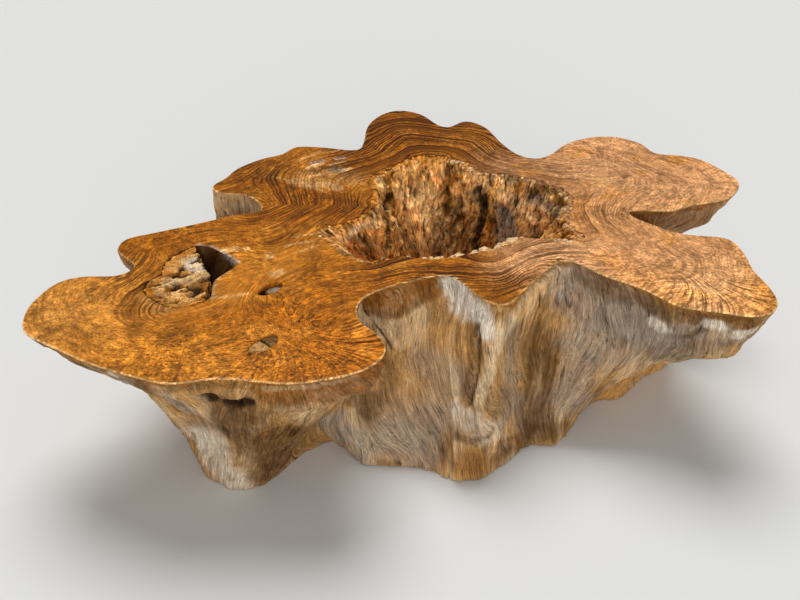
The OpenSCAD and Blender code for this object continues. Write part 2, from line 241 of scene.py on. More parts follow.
class Skin:
    """One loose skin of the root between the flat top and the flat sole."""

    def __init__(self, points, faces):
        self.points, self.faces = points, faces
        sides = np.sort(np.concatenate([faces[:, [0, 1]], faces[:, [1, 2]], faces[:, [2, 0]]]), axis=1)
        self.edges, times = np.unique(sides, axis=0, return_counts=True)
        rim = self.edges[times == 1]
        high = np.abs(points[:, 2] - TOP) < LEVEL
        low = np.abs(points[:, 2] - SOLE) < LEVEL
        upper = rim[high[rim].all(axis=1)]
        self.low = np.unique(rim[low[rim].all(axis=1)])
        self.loop = self.walk(upper) if len(upper) else []

    def walk(self, rim):
        """The points of the upper rim in order, from the one furthest left."""
        ties = {}
        for a, b in rim.tolist():
            ties.setdefault(a, []).append(b)
            ties.setdefault(b, []).append(a)
        first = rim[0][0]
        loop, last, here = [first], None, first
        while True:
            step = [v for v in ties[here] if v != last][0]
            if step == first:
                break
            loop.append(step)
            last, here = here, step
        x, y = self.points[loop, 0], self.points[loop, 1]
        if np.sum(x * np.roll(y, -1) - y * np.roll(x, -1)) < 0:
            loop.reverse()
        start = int(np.argmin(self.points[loop, 0]))
        return loop[start:] + loop[:start]


def root_skins():
    """The skins of the CAD root, the largest first."""
    bm = bmesh.new()
    bm.from_mesh(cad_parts["root_body"].data)
    bmesh.ops.remove_doubles(bm, verts=bm.verts, dist=WELD)
    flat = [f for f in bm.faces if any(all(abs(v.co.z - z) < LEVEL for v in f.verts) for z in (TOP, SOLE))]
    bmesh.ops.delete(bm, geom=flat, context="FACES")
    bm.faces.index_update()
    bm.verts.index_update()
    seen, found = set(), []
    for face in bm.faces:
        if face.index in seen:
            continue
        seen.add(face.index)
        stack, group = [face], []
        while stack:
            here = stack.pop()
            group.append([v.index for v in here.verts])
            for edge in here.edges:
                for other in edge.link_faces:
                    if other.index not in seen:
                        seen.add(other.index)
                        stack.append(other)
        found.append(np.array(group))
    points = np.array([v.co for v in bm.verts])
    bm.free()
    skins = []
    for group in sorted(found, key=len, reverse=True):
        used, faces = np.unique(group, return_inverse=True)
        skins.append(Skin(points[used], faces.reshape(-1, 3)))
    return skins


def even(skin, columns, rows, skip=0.0, dense=96):
    """A skin as an even grid of columns round it and rows down it; skip leaves out its upper part.

    The skin is laid out flat as a ring between two circles. Straight lines through that ring then give
    the columns, first with dense places each and at last with the asked rows.
    """
    points, loop = skin.points, skin.loop
    count = len(points)
    ring = points[loop]
    steps = np.linalg.norm(np.roll(ring, -1, axis=0) - ring, axis=1)
    turn = np.concatenate([[0], np.cumsum(steps)[:-1]]) / steps.sum() * 2 * math.pi
    tree = tree_of(ring)
    nearest = np.array([tree.find((p[0], p[1], 0))[1] for p in points])
    flat = np.exp(1j * turn)[nearest]
    flat[loop] = np.exp(1j * turn)
    down = np.full(count, 0.5)
    fixed = np.zeros(count, bool)
    fixed[loop] = True
    down[loop] = 0
    ends = skin.low if len(skin.low) else np.array([int(np.argmin(points[:, 2]))])
    pairs = skin.edges
    degree = np.bincount(pairs.ravel(), minlength=count)
    for _ in range(SPREAD_PASSES):
        down = beside(down, pairs, degree)
        down[loop] = 0
        down[ends] = 1
        turned = beside(flat.real, pairs, degree) + 1j * beside(flat.imag, pairs, degree)
        turned /= np.maximum(np.abs(turned), 1e-9)
        flat = np.where(fixed, flat, turned)
    place = flat * (1 + down)
    plan = np.array([(z.real, z.imag) for z in place])
    tree = BVHTree.FromPolygons([Vector((x, y, 0)) for x, y in plan], skin.faces.tolist())
    around = np.linspace(0, 2 * math.pi, columns, endpoint=False)
    depths = np.linspace(0, 1, dense) ** 1.4
    found = np.zeros((columns, dense), np.int64)
    spot = np.zeros((columns, dense, 2))
    for i, angle in enumerate(around):
        c, s = math.cos(angle), math.sin(angle)
        for j, d in enumerate(depths):
            hit = tree.find_nearest((c * (1 + d), s * (1 + d), 0))
            found[i, j] = hit[2]
            spot[i, j] = hit[0][:2]
    # the shares of the three corners at each spot, and with them its place on the skin
    tri = plan[skin.faces[found]]
    one = tri[..., 1, :] - tri[..., 0, :]
    two = tri[..., 2, :] - tri[..., 0, :]
    here = spot - tri[..., 0, :]
    area = one[..., 0] * two[..., 1] - one[..., 1] * two[..., 0]
    area = np.where(np.abs(area) < 1e-14, 1e-14, area)
    v = (here[..., 0] * two[..., 1] - here[..., 1] * two[..., 0]) / area
    w = (one[..., 0] * here[..., 1] - one[..., 1] * here[..., 0]) / area
    share = np.stack([1 - v - w, v, w], axis=-1)
    grid = (points[skin.faces[found]] * share[..., None]).sum(axis=2)
    for k in range(3):
        grid[:, 0, k] = np.interp(around, np.append(turn, 2 * math.pi), np.append(ring[:, k], ring[0, k]))
    # columns an even distance apart, judged half by the edge and half by the rest
    gaps = np.linalg.norm(np.roll(grid, -1, axis=0) - grid, axis=2)
    weight = gaps[:, 0] + gaps[:, : dense * 3 // 4].mean(axis=1) + 1e-6
    sum_to = np.concatenate([[0], np.cumsum(weight)])
    want = np.linspace(0, sum_to[-1], columns, endpoint=False)
    closed = np.concatenate([grid, grid[:1]])
    moved = [[np.interp(want, sum_to, closed[:, j, k]) for j in range(dense)] for k in range(3)]
    grid = np.stack([np.stack(axis, 1) for axis in moved], 2)
    # rows an even distance apart down each column
    fine = np.zeros((columns, len(rows), 3))
    reach = np.zeros((columns, len(rows)))
    for i in range(columns):
        walk = np.concatenate([[0], np.cumsum(np.linalg.norm(np.diff(grid[i], axis=0), axis=1))])
        at = skip + np.array(rows) * (walk[-1] - skip)
        reach[i] = at - skip
        for k in range(3):
            fine[i, :, k] = np.interp(at, walk, grid[i, :, k])
    return fine, reach


def soften(grid, round_it, down_it):
    """Rounds the flat facets of a grid: a Gaussian round it, and a few passes down it."""
    turns = np.fft.rfftfreq(grid.shape[0])
    pass_low = np.exp(-0.5 * (2 * math.pi * turns * round_it) ** 2)
    grid = np.fft.irfft(np.fft.rfft(grid, axis=0) * pass_low[:, None, None], n=grid.shape[0], axis=0)
    for _ in range(down_it):
        grid[:, 1:-1] = (grid[:, :-2] + 2 * grid[:, 1:-1] + grid[:, 2:]) / 4
    return grid


def normals(grid):
    """Unit normals of a grid that is closed round."""
    across = np.roll(grid, -1, axis=0) - np.roll(grid, 1, axis=0)
    along = np.gradient(grid, axis=1)
    out = np.cross(along, across)
    return out / np.maximum(np.linalg.norm(out, axis=2, keepdims=True), 1e-12)


def mesh_from(bm, name):
    """A new mesh from a bmesh, which is freed."""
    mesh = bpy.data.meshes.new(name)
    bm.to_mesh(mesh)
    bm.free()
    return mesh


def read_points(mesh, key="co"):
    """The places or the normals of a mesh's points."""
    values = np.zeros(len(mesh.vertices) * 3)
    mesh.vertices.foreach_get(key, values)
    return values.reshape(-1, 3)


def turn_outward(bm):
    """Turns the faces of a closed bmesh to its outside."""
    if bm.calc_volume(signed=True) < 0:
        bmesh.ops.reverse_faces(bm, faces=bm.faces)


def in_order(bm):
    """Sorts points, edges and faces by place, since extruding leaves them in another order in every run."""
    def place(part):
        return tuple(sum((v.co for v in part.verts), Vector()))

    for parts, key in ((bm.verts, lambda v: v.co[:]), (bm.edges, place), (bm.faces, place)):
        for k, part in enumerate(sorted(parts, key=key)):
            part.index = k
        parts.sort()


def skin_object(name, grid, attributes):
    """A closed skin from a grid that joins itself round and from its last row to its first."""
    columns, rows = grid.shape[:2]
    bm = bmesh.new()
    bmesh.ops.create_grid(bm, x_segments=columns, y_segments=rows, size=1.0)
    mesh = mesh_from(bm, name)

    def laid_out(values):
        # the operator lays its points out in rows of columns + 1
        values = np.take(values, np.arange(columns + 1) % columns, axis=0)
        values = np.take(values, np.arange(rows + 1) % rows, axis=1)
        return values.swapaxes(0, 1).reshape(-1, 3)

    mesh.vertices.foreach_set("co", laid_out(grid).reshape(-1).astype(np.float32))
    for key, values in attributes.items():
        store(mesh, key, laid_out(values))
    bm = bmesh.new()
    bm.from_mesh(mesh)
    bmesh.ops.remove_doubles(bm, verts=bm.verts, dist=1e-6)
    turn_outward(bm)
    for face in bm.faces:
        face.smooth = True
    bm.to_mesh(mesh)
    bm.free()
    facing = np.zeros(len(mesh.vertices) * 3, np.float32)
    mesh.attributes["facing"].data.foreach_get("vector", facing)
    mesh.normals_split_custom_set_from_vertices(facing.reshape(-1, 3).tolist())
    mesh.attributes.remove(mesh.attributes["facing"])
    return new_object(name, mesh)


def store(mesh, key, values):
    """Keeps one value, vector or colour for each point of a mesh."""
    values = np.asarray(values, np.float32)
    if values.ndim == 1:
        mesh.attributes.new(key, "FLOAT", "POINT").data.foreach_set("value", values)
    elif key == "tint":
        full = np.concatenate([values, np.ones((len(values), 1), np.float32)], axis=1)
        mesh.attributes.new(key, "FLOAT_COLOR", "POINT").data.foreach_set("color", full.reshape(-1))
    else:
        mesh.attributes.new(key, "FLOAT_VECTOR", "POINT").data.foreach_set("vector", values.reshape(-1))


def new_object(name, mesh):
    """A new object of the scene, at the origin."""
    piece = bpy.data.objects.new(name, mesh)
    bpy.context.scene.collection.objects.link(piece)
    return piece


def finish_piece(piece, material, slot, *nodes):
    """Gives a piece its finish, the nodes that it stands for and the body that it rides on; its slot is not
    used.
    """
    piece.data.materials.clear()
    piece.data.materials.append(material)
    if nodes:
        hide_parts(*nodes)
    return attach(piece, "root")


# Materials

ALIKE = (1.0, 1.0, 1.0)  # the stretch of a pattern that has the same size all ways


def add(tree, kind, settings=None, links=None, output=None):
    """Adds one node with its settings and links, and gives back the socket that holds its result."""
    node = tree.nodes.new(kind)
    for key, value in (settings or {}).items():
        if isinstance(key, int) or key in node.inputs:
            node.inputs[key].default_value = value
        else:
            setattr(node, key, value)
    for key, source in (links or {}).items():
        tree.links.new(source, node.inputs[key])
    if output:
        return node.outputs[output]
    return next((socket for socket in node.outputs if socket.enabled), None)


def new_material(name):
    """An empty material and its node tree."""
    material = bpy.data.materials.new(name)
    material.use_nodes = True
    material.node_tree.nodes.clear()
    return material, material.node_tree


def surface(tree, settings, links):
    """The shader of a material and its output."""
    shader = add(tree, "ShaderNodeBsdfPrincipled", settings, links)
    add(tree, "ShaderNodeOutputMaterial", {}, {"Surface": shader})


def grained(tree, base, source, patterns, others=()):
    """Lightens and darkens a colour by noise of (stretch, scale, twist, least, most) and keeps its hue."""
    light = list(others)
    for stretch, scale, twist, least, most in patterns:
        place = add(tree, "ShaderNodeMapping", {"Scale": stretch}, {"Vector": source})
        look = {"Scale": scale, "Detail": 4.0, "Roughness": 0.64, "Distortion": twist}
        grain = add(tree, "ShaderNodeTexNoise", look, {"Vector": place})
        reach = {"From Min": 0.32, "From Max": 0.68, "To Min": least, "To Max": most}
        light.append(add(tree, "ShaderNodeMapRange", reach, {"Value": grain}))
    value = light[0]
    for part in light[1:]:
        value = add(tree, "ShaderNodeMath", {"operation": "MULTIPLY"}, {0: value, 1: part})
    return add(tree, "ShaderNodeHueSaturation", {}, {"Value": value, "Color": base})


def polished_teak():
    """Oiled and polished teak: warm brown with dark growth lines under a thin satin finish."""
    material, tree = new_material("polished_teak")
    spot = add(tree, "ShaderNodeTexCoord", output="Object")
    names = ("tint", "ring", "lined", "burr", "rays", "flow")
    fields = [add(tree, "ShaderNodeAttribute", {"attribute_name": name}) for name in names]
    tint, ring, lined, burr, rays, flow = fields
    # growth rings about 8 mm apart in bands of 37 mm, bent by noise of 125 mm and of 26 mm
    bend = add(tree, "ShaderNodeTexNoise", {"Scale": 8.0, "Detail": 2.0}, {"Vector": spot})
    wave = add(tree, "ShaderNodeTexNoise", {"Scale": 38.0, "Detail": 2.0}, {"Vector": spot})
    bent = add(tree, "ShaderNodeMath", {"operation": "MULTIPLY_ADD", 1: 0.040}, {0: bend, 2: ring})
    course = add(tree, "ShaderNodeMath", {"operation": "MULTIPLY_ADD", 1: 0.007}, {0: wave, 2: bent})
    look = {"noise_dimensions": "1D", "Scale": 27.0, "Detail": 3.0}
    drift = add(tree, "ShaderNodeTexNoise", look, {"W": course})
    look = {"noise_dimensions": "1D", "Scale": 135.0, "Detail": 4.0, "Roughness": 0.60}
    uneven = add(tree, "ShaderNodeTexNoise", look, {"W": course})
    turn = add(tree, "ShaderNodeMath", {"operation": "MULTIPLY", 1: 810.0}, {0: course})
    ripple = add(tree, "ShaderNodeMath", {"operation": "SINE"}, {0: turn})
    year = add(tree, "ShaderNodeMath", {"operation": "MULTIPLY_ADD", 1: 0.055}, {0: ripple, 2: uneven})
    dark = {"From Min": 0.42, "From Max": 0.53, "To Min": 0.90, "To Max": 0.0}
    line = add(tree, "ShaderNodeMapRange", {"interpolation_type": "SMOOTHSTEP", **dark}, {"Value": year})
    dark = {"From Min": 0.39, "From Max": 0.54, "To Min": 0.80, "To Max": 0.0}
    band = add(tree, "ShaderNodeMapRange", dark, {"Value": drift})
    # flecks of 10 by 17 mm, and rays 9 mm wide and 70 mm long across the grain
    place = add(tree, "ShaderNodeMapping", {"Scale": (1.0, 0.6, 0.6)}, {"Vector": flow})
    look = {"Scale": 100.0, "Detail": 5.0, "Roughness": 0.68, "Distortion": 1.6}
    fleck = add(tree, "ShaderNodeTexNoise", look, {"Vector": place})
    place = add(tree, "ShaderNodeMapping", {"Scale": (0.13, 1.0, 1.0)}, {"Vector": flow})
    look = {"Scale": 110.0, "Detail": 3.0, "Roughness": 0.6, "Distortion": 0.4}
    ray = add(tree, "ShaderNodeTexNoise", look, {"Vector": place})
    figure = []
    for pattern, share in ((fleck, burr), (ray, rays)):
        reach = {"From Min": 0.36, "From Max": 0.64, "To Min": -0.82, "To Max": 1.20}
        part = add(tree, "ShaderNodeMapRange", reach, {"Value": pattern})
        figure.append(add(tree, "ShaderNodeMath", {"operation": "MULTIPLY_ADD", 2: 1.0}, {0: part, 1: share}))
    # swirls of 77 mm and of 24 mm
    base = grained(tree, tint, spot, [(ALIKE, 13.0, 2.4, 0.66, 1.38), (ALIKE, 42.0, 1.8, 0.72, 1.32)])
    # streaks 11 mm wide, curls 4 mm wide, and pores of 1 mm drawn 2 mm wide so that they show
    base = grained(tree, base, flow, [
        ((1.0, 0.26, 0.26), 90.0, 0.9, 0.63, 1.37),
        ((1.0, 0.45, 0.45), 240.0, 1.6, 0.62, 1.38),
        ((1.0, 0.25, 0.25), 480.0, 0.3, 0.70, 1.30),
    ], figure)
    for pattern, name in ((band, "chestnut"), (line, "walnut")):
        share = add(tree, "ShaderNodeMath", {"operation": "MULTIPLY"}, {0: pattern, 1: lined})
        base = add(tree, "ShaderNodeMix", {"data_type": "RGBA", 7: (*colour(name), 1)}, {0: share, 6: base})
    rough = add(tree, "ShaderNodeMapRange", {"To Min": 0.24, "To Max": 0.38}, {"Value": fleck})
    bump = add(tree, "ShaderNodeBump", {"Strength": 0.2, "Distance": 0.001}, {"Height": fleck})
    finish = {"IOR": 1.5, "Specular IOR Level": 0.04}
    surface(tree, finish, {"Base Color": base, "Roughness": rough, "Normal": bump})
    return material


def weathered(name, rough, strand, contrast, bump_size=0.003, lean=0.09, crest=0.22, gap=0.75, pale="sand"):
    """Bare teak: matt, with raised pale fibres along the grain and dark hairline checks; the pale crests are
    partly a painted highlight, the dark checks painted shade.
    """
    material, tree = new_material(name)
    tint, flow = (add(tree, "ShaderNodeAttribute", {"attribute_name": n}) for n in ("tint", "flow"))
    # strands 5 mm wide on the flanks and 16 mm in the hollow, hairs 0.4 and patches 6 times as wide,
    # and grit of 3 mm
    base = grained(tree, tint, flow, [
        ((1.0, 1.0, lean), strand, 0.3 + lean, 1 - 0.36 * contrast, 1 + 0.38 * contrast),
        ((1.0, 1.0, lean * 0.9), strand * 2.4, 0.3, 1 - 0.50 * contrast, 1 + 0.52 * contrast),
        ((1.0, 1.0, 0.16 + lean), strand * 0.17, 1.2, 1 - 0.45 * contrast, 1 + 0.45 * contrast),
        (ALIKE, 300.0, 0.0, 0.82, 1.18),
    ])
    shift = {"Scale": (1.0, 1.0, lean), "Location": (3.0, 0.0, 0.0)}
    place = add(tree, "ShaderNodeMapping", shift, {"Vector": flow})
    look = {"Scale": strand, "Detail": 4.0, "Roughness": 0.62, "Distortion": 0.3 + lean}
    fibre = add(tree, "ShaderNodeTexNoise", look, {"Vector": place})
    check = 0.28 + 0.06 * contrast
    # the fibres also raise the bump: their pale crests are pale wood and painted highlight, the dark gaps
    # painted shade in the checks
    ends = ((0.62, 0.74, 0.0, crest, pale), (check, check + 0.07, gap, 0.0, "crevice_shade"))
    for low, high, least, most, wood in ends:
        reach = {"From Min": low, "From Max": high, "To Min": least, "To Max": most}
        share = add(tree, "ShaderNodeMapRange", reach, {"Value": fibre})
        base = add(tree, "ShaderNodeMix", {"data_type": "RGBA", 7: (*colour(wood), 1)}, {0: share, 6: base})
    bump = add(tree, "ShaderNodeBump", {"Strength": 0.6, "Distance": bump_size}, {"Height": fibre})
    finish = {"Roughness": rough, "IOR": 1.45, "Specular IOR Level": 0.06}
    surface(tree, finish, {"Base Color": base, "Normal": bump})
    return material


def sawn_sole():
    """Sawn end grain under the feet: matt, grey brown, with growth rings and saw marks 4 mm apart."""
    material, tree = new_material("sawn_end_grain")
    spot = add(tree, "ShaderNodeTexCoord", output="Object")
    look = {"wave_type": "RINGS", "rings_direction": "Z", "Scale": 26.0, "Distortion": 7.0, "Detail": 3.0}
    rings = add(tree, "ShaderNodeTexWave", {**look, "Detail Scale": 1.4}, {"Vector": spot}, "Fac")
    woods = {"data_type": "RGBA", 6: (*linear("9A7F5E"), 1), 7: (*linear("6E5538"), 1)}
    base = add(tree, "ShaderNodeMix", woods, {0: rings})
    base = grained(tree, base, spot, [((1.0, 0.04, 1.0), 250.0, 0.0, 0.75, 1.25)])
    bump = add(tree, "ShaderNodeBump", {"Strength": 0.3, "Distance": 0.001}, {"Height": rings})
    surface(tree, {"Roughness": 0.85, "IOR": 1.45}, {"Base Color": base, "Normal": bump})
    return material


def wool_felt():
    """Pressed wool felt: dark brown, very matt, with short fibres that catch the light."""
    material, tree = new_material("pressed_wool_felt")
    spot = add(tree, "ShaderNodeTexCoord", output="Object")
    look = {"Scale": 700.0, "Detail": 4.0, "Roughness": 0.75, "Distortion": 1.2}
    fuzz = add(tree, "ShaderNodeTexNoise", look, {"Vector": spot})
    wools = {"data_type": "RGBA", 6: (*linear("221A14"), 1), 7: (*linear("544334"), 1)}
    base = add(tree, "ShaderNodeMix", wools, {0: fuzz})
    bump = add(tree, "ShaderNodeBump", {"Strength": 0.5, "Distance": 0.0006}, {"Height": fuzz})
    look = {"Roughness": 0.95, "IOR": 1.5, "Sheen Weight": 0.4, "Sheen Roughness": 0.5}
    surface(tree, look, {"Base Color": base, "Normal": bump})
    return material


def zinc_steel():
    """Zinc plated steel screws: bright, cool, finely spangled."""
    material, tree = new_material("zinc_plated_steel")
    spot = add(tree, "ShaderNodeTexCoord", output="Object")
    spangle = add(tree, "ShaderNodeTexVoronoi", {"Scale": 900.0}, {"Vector": spot}, "Color")
    metals = {"data_type": "RGBA", 6: (*linear("A4A8AA"), 1), 7: (*linear("C8CBCC"), 1)}
    base = add(tree, "ShaderNodeMix", metals, {0: spangle})
    rough = add(tree, "ShaderNodeMapRange", {"To Min": 0.27, "To Max": 0.42}, {"Value": spangle})
    surface(tree, {"Metallic": 1.0}, {"Base Color": base, "Roughness": rough})
    return material


def studio_paper():
    """Seamless studio paper: one pale neutral grey, fully matt."""
    material, tree = new_material("seamless_paper")
    spot = add(tree, "ShaderNodeTexCoord", output="Object")
    tooth = add(tree, "ShaderNodeTexNoise", {"Scale": 900.0, "Detail": 2.0}, {"Vector": spot})
    papers = {"data_type": "RGBA", 6: (*linear("DFE0DE"), 1), 7: (*linear("E3E3E1"), 1)}
    base = add(tree, "ShaderNodeMix", papers, {0: tooth})
    surface(tree, {"Roughness": 0.95, "Specular IOR Level": 0.0}, {"Base Color": base})
    return material


# Marks on the wood, in millimetres

TOP_TINTS = [
    # x, y, radius, colour, strength
    (-830, -380, 120, "golden", 1.2), (-850, -390, 110, "honey", 0.7), (-720, -450, 130, "golden", 0.7),
    (-780, -290, 100, "golden", 0.7), (-640, -270, 70, "amber", 0.9), (-580, -540, 120, "amber", 0.8),
    (-440, -560, 110, "amber", 0.8), (-270, -420, 110, "cinnamon", 1.6), (-380, -420, 90, "cinnamon", 1.0),
    (-250, -590, 110, "cinnamon", 0.5), (-140, -520, 90, "cinnamon", 1.9),
    (-490, -410, 70, "cinnamon", 0.7), (-670, -110, 80, "cinnamon", 0.9), (-330, 90, 120, "cinnamon", 2.0),
    (-420, -180, 100, "amber", 0.8), (-190, 50, 70, "cinnamon", 0.9), (-130, -300, 110, "cinnamon", 0.9),
    # the pink spots on the right lobes are pink wood with painted sheen of the finish
    (90, -210, 120, "cinnamon", 0.9), (320, -120, 70, "blush", 0.2), (440, -190, 110, "salmon_sheen", 0.7),
    (680, -240, 180, "salmon_sheen", 1.0), (560, -270, 70, "golden", 0.6), (840, -335, 80, "golden", 1.2),
    (720, -300, 90, "straw", 0.35), (630, 160, 190, "salmon_sheen", 0.7), (600, 250, 120, "blush", 0.5),
    (850, 190, 120, "salmon_sheen", 0.9), (550, 390, 160, "salmon_sheen", 1.0), (0, 510, 170, "cinnamon", 1.6),
    (200, 480, 120, "amber", 0.9), (260, 310, 90, "blush", 1.0), (380, 240, 80, "blush", 0.7),
    (-130, 440, 110, "cinnamon", 0.9), (-460, 210, 120, "chestnut", 1.0), (-560, -30, 100, "cinnamon", 0.8),
    (-300, 240, 80, "golden", 0.7), (-100, 320, 60, "chestnut", 0.7), (520, 200, 50, "straw", 0.3),
    (40, 560, 60, "chestnut", 0.4), (330, -110, 90, "salmon_sheen", 1.6), (250, -180, 60, "salmon_sheen", 0.8),
]
TOP_MARKS = [
    # colour, width, strength, places
    # the darkest dots and the thin dark line are painted shade in small holes and a crack
    ("straw", 9, 0.8, [(-480, -133)]), ("straw", 11, 0.9, [(-455, -128)]),
    ("straw", 9, 0.9, [(-427, -128)]), ("straw", 12, 0.7, [(-365, -160)]),
    ("straw", 12, 0.6, [(-331, -229), (-345, -238)]), ("crevice_shade", 4, 0.9, [(-427, -128)]),
    ("crevice_shade", 4, 0.8, [(-362, -158)]), ("walnut", 9, 0.8, [(639, 293)]),
    ("walnut", 6, 0.7, [(592, 231), (610, 240)]), ("salmon_sheen", 26, 0.6, [(639, 293)]),
    ("straw", 24, 0.6, [(330, 70), (350, 62)]), ("crevice_shade", 3, 1.0, [(-525, -650), (-517, -585)]),
    ("straw", 4, 0.7, [(-329, -115), (-290, -101), (-262, -92)]),
    ("straw", 3, 0.6, [(-290, -140), (-245, -110)]), ("straw", 3, 0.6, [(-310, -75), (-255, -55)]),
    ("straw", 20, 0.5, [(-329, 204), (-272, 184)]), ("straw", 16, 0.6, [(-250, 195), (-207, 171)]),
    ("straw", 5, 0.8, [(-225, 168), (-205, 215), (-170, 260)]),
    ("silver", 11, 0.5, [(-284, 311), (-262, 322)]), ("silver", 9, 0.5, [(-218, 338), (-200, 342)]),
    ("tan", 40, 0.6, [(-290, 240), (-230, 250), (-170, 230)]),
    ("straw", 7, 0.9, [(-300, 285), (-262, 306)]), ("straw", 6, 0.9, [(-230, 300), (-196, 318)]),
    ("straw", 6, 0.8, [(-205, 262), (-180, 280)]),
    ("umber", 9, 0.8, [(-285, 268), (-255, 280), (-222, 288)]),
    ("straw", 5, 0.8, [(-290, 235), (-262, 246)]), ("umber", 7, 0.7, [(-190, 238), (-170, 262)]),
    ("crevice_shade", 7, 0.8, [(-263, 259)]), ("slate", 12, 0.7, [(-225, 270), (-205, 272)]),
    ("crevice_shade", 4, 0.9, [(-214, 268)]),
    ("chestnut", 12, 0.8, [(-420, 215), (-330, 175), (-226, 120), (-150, 92)]),
    ("chestnut", 12, 0.7, [(-400, 40), (-300, 35), (-200, 55), (-140, 80)]),
    ("straw", 4, 0.5, [(-395, 235), (-310, 196), (-240, 150)]),
    ("straw", 5, 0.5, [(-325, 328), (-270, 375), (-197, 385)]),
    ("silver", 4, 0.8, [(-553, -108), (-514, -118), (-474, -150), (-438, -188)]),
    ("straw", 4, 0.7, [(-484, -340), (-486, -300), (-483, -258), (-456, -222)]),
    ("walnut", 26, 0.45, [(-537, -476), (-560, -490)]), ("walnut", 24, 0.40, [(-641, -458)]),
    ("straw", 5, 0.45, [(-490, -334), (-440, -330), (-400, -318)]),
    ("honey", 24, 0.5, [(-640, -330), (-590, -375)]),
]
RIDGES = [
    # start, end, reach and height of long nests of rings, all in millimetres
    (-420, 88, -110, 80, 60, 70), (-700, -110, -560, -100, 40, 20), (690, -60, 520, 40, 60, 40),
]
RING_SPOTS = [
    # x, y, radius, how strongly the growth lines show
    (-670, -270, 75, 1.1), (-640, -370, 60, 1.0), (-680, -180, 60, 0.9), (-560, -60, 90, 0.6),
    (-330, 90, 150, 0.9), (-170, 70, 90, 1.2), (0, 500, 200, 1.8), (-120, 420, 90, 1.6),
    (200, 430, 150, 1.2), (-170, 330, 110, 1.2), (90, -210, 110, 1.4), (-60, -210, 100, 1.2),
    (220, -260, 80, 1.2), (340, -150, 90, 0.9), (500, 30, 90, 0.6), (400, 260, 90, 0.5),
    (640, 290, 120, 0.35), (660, -220, 120, 0.3), (-420, 240, 90, 1.1),
]
RAY_SPOTS = [
    # x, y, radius, how strongly the rays show
    (-110, -500, 90, 1.0), (-180, -570, 100, 0.7), (-290, -610, 90, 0.4), (600, -300, 90, 0.6),
    (700, -330, 110, 1.0), (800, -300, 90, 0.9), (560, 400, 120, 0.3), (-600, -590, 90, 0.3),
    (-860, -400, 60, 0.4), (830, 230, 80, 0.3),
]
BURR_SPOTS = [
    # x, y, radius, how strongly the flecks show
    (-700, -480, 130, 0.35), (-520, -540, 160, 0.8), (-350, -560, 150, 1.0), (-200, -540, 140, 1.0),
    (-300, -420, 150, 1.0), (-480, -420, 100, 0.6), (-400, -260, 120, 0.5), (680, -260, 200, 0.25),
    (780, -330, 120, 0.3), (560, -220, 110, 0.45), (640, 160, 220, 0.05), (-820, -380, 120, 0.2),
    (-300, 80, 130, 1.0), (-600, -60, 110, 0.6), (-420, -150, 120, 0.7), (-200, -260, 120, 0.6),
    (-250, 240, 120, 0.8), (0, -220, 90, 0.4), (-460, 220, 100, 0.5),
]
WORN_SPOTS = [
    # x, y, radius, how far the rim of the hollow has crumbled away there
    (-90, 250, 80, 0.7), (50, 330, 110, 1.0), (150, 285, 70, 0.9), (-160, 100, 60, 0.4),
    (-230, -50, 50, 0.6), (300, 220, 90, 0.5), (420, 100, 80, 0.4), (420, -70, 50, 0.6),
    (-110, -180, 70, 0.3), (240, -100, 60, 0.3),
]


def spots(points, table):
    """The strength at each place of a list of round soft spots."""
    total = np.zeros(len(points))
    for x, y, reach, strength in table:
        gap = np.hypot(points[:, 0] * 1000 - x, points[:, 1] * 1000 - y)
        total = np.maximum(total, strength * np.exp(-(gap / reach) ** 2))
    return total


# Shared geometry

cache = {}


def grids():
    """The unrolled flank, hollow and pocket, made once and shared by the pieces."""
    if cache:
        return cache
    skins = root_skins()
    ways = sorted((s for s in skins if len(s.loop)), key=lambda s: -np.ptp(s.points[s.loop, 0]))
    hollow = [s for s in ways[1:] if len(s.low)][0]
    pocket, *sockets = [s for s in ways[1:] if not len(s.low)][:3]
    rows = np.concatenate([np.linspace(0, 0.30, SPLIT + 1), np.linspace(0.30, 1, 63)[1:]])
    outer, reach = even(ways[0], columns=2100, rows=rows, skip=0.0057)
    cache["flank"] = (soften(outer, 3.0, 5), reach)
    hole, reach = even(hollow, columns=720, rows=np.linspace(0, 1, 121))
    cache["hollow"] = (soften(hole, 2.4, 4), reach)
    well, reach = even(pocket, columns=260, rows=np.linspace(0, 1, 61))
    cache["pocket"] = (soften(well, 1.8, 3), reach)
    cache["sockets"] = [resample(soften(s.points[s.loop][:, None], 0.6, 0)[:, 0], 72) for s in sockets]
    return cache


def worn(ring):
    """How far the polished face stops short of the hollow at each place of its rim, as a share."""
    return spots(ring, WORN_SPOTS)[:, None]


def resample(ring, count):
    """A closed line as a number of points an even distance apart."""
    closed = np.concatenate([ring, ring[:1]])
    walk = np.concatenate([[0], np.cumsum(np.linalg.norm(np.diff(closed, axis=0), axis=1))])
    want = np.linspace(0, walk[-1], count, endpoint=False)
    return np.stack([np.interp(want, walk, closed[:, k]) for k in range(3)], 1)


def inset(ring, amount, soft=2.0):
    """A closed flat line moved to its own left by an amount."""
    along = np.roll(ring, -1, axis=0) - np.roll(ring, 1, axis=0)
    side = np.stack([-along[:, 1], along[:, 0], np.zeros(len(ring))], 1)
    side /= np.maximum(np.linalg.norm(side, axis=1, keepdims=True), 1e-12)
    side = soften(side[:, None], soft, 0)[:, 0]
    return ring + side * amount


# Marks on the flanks and in the hollow, in millimetres

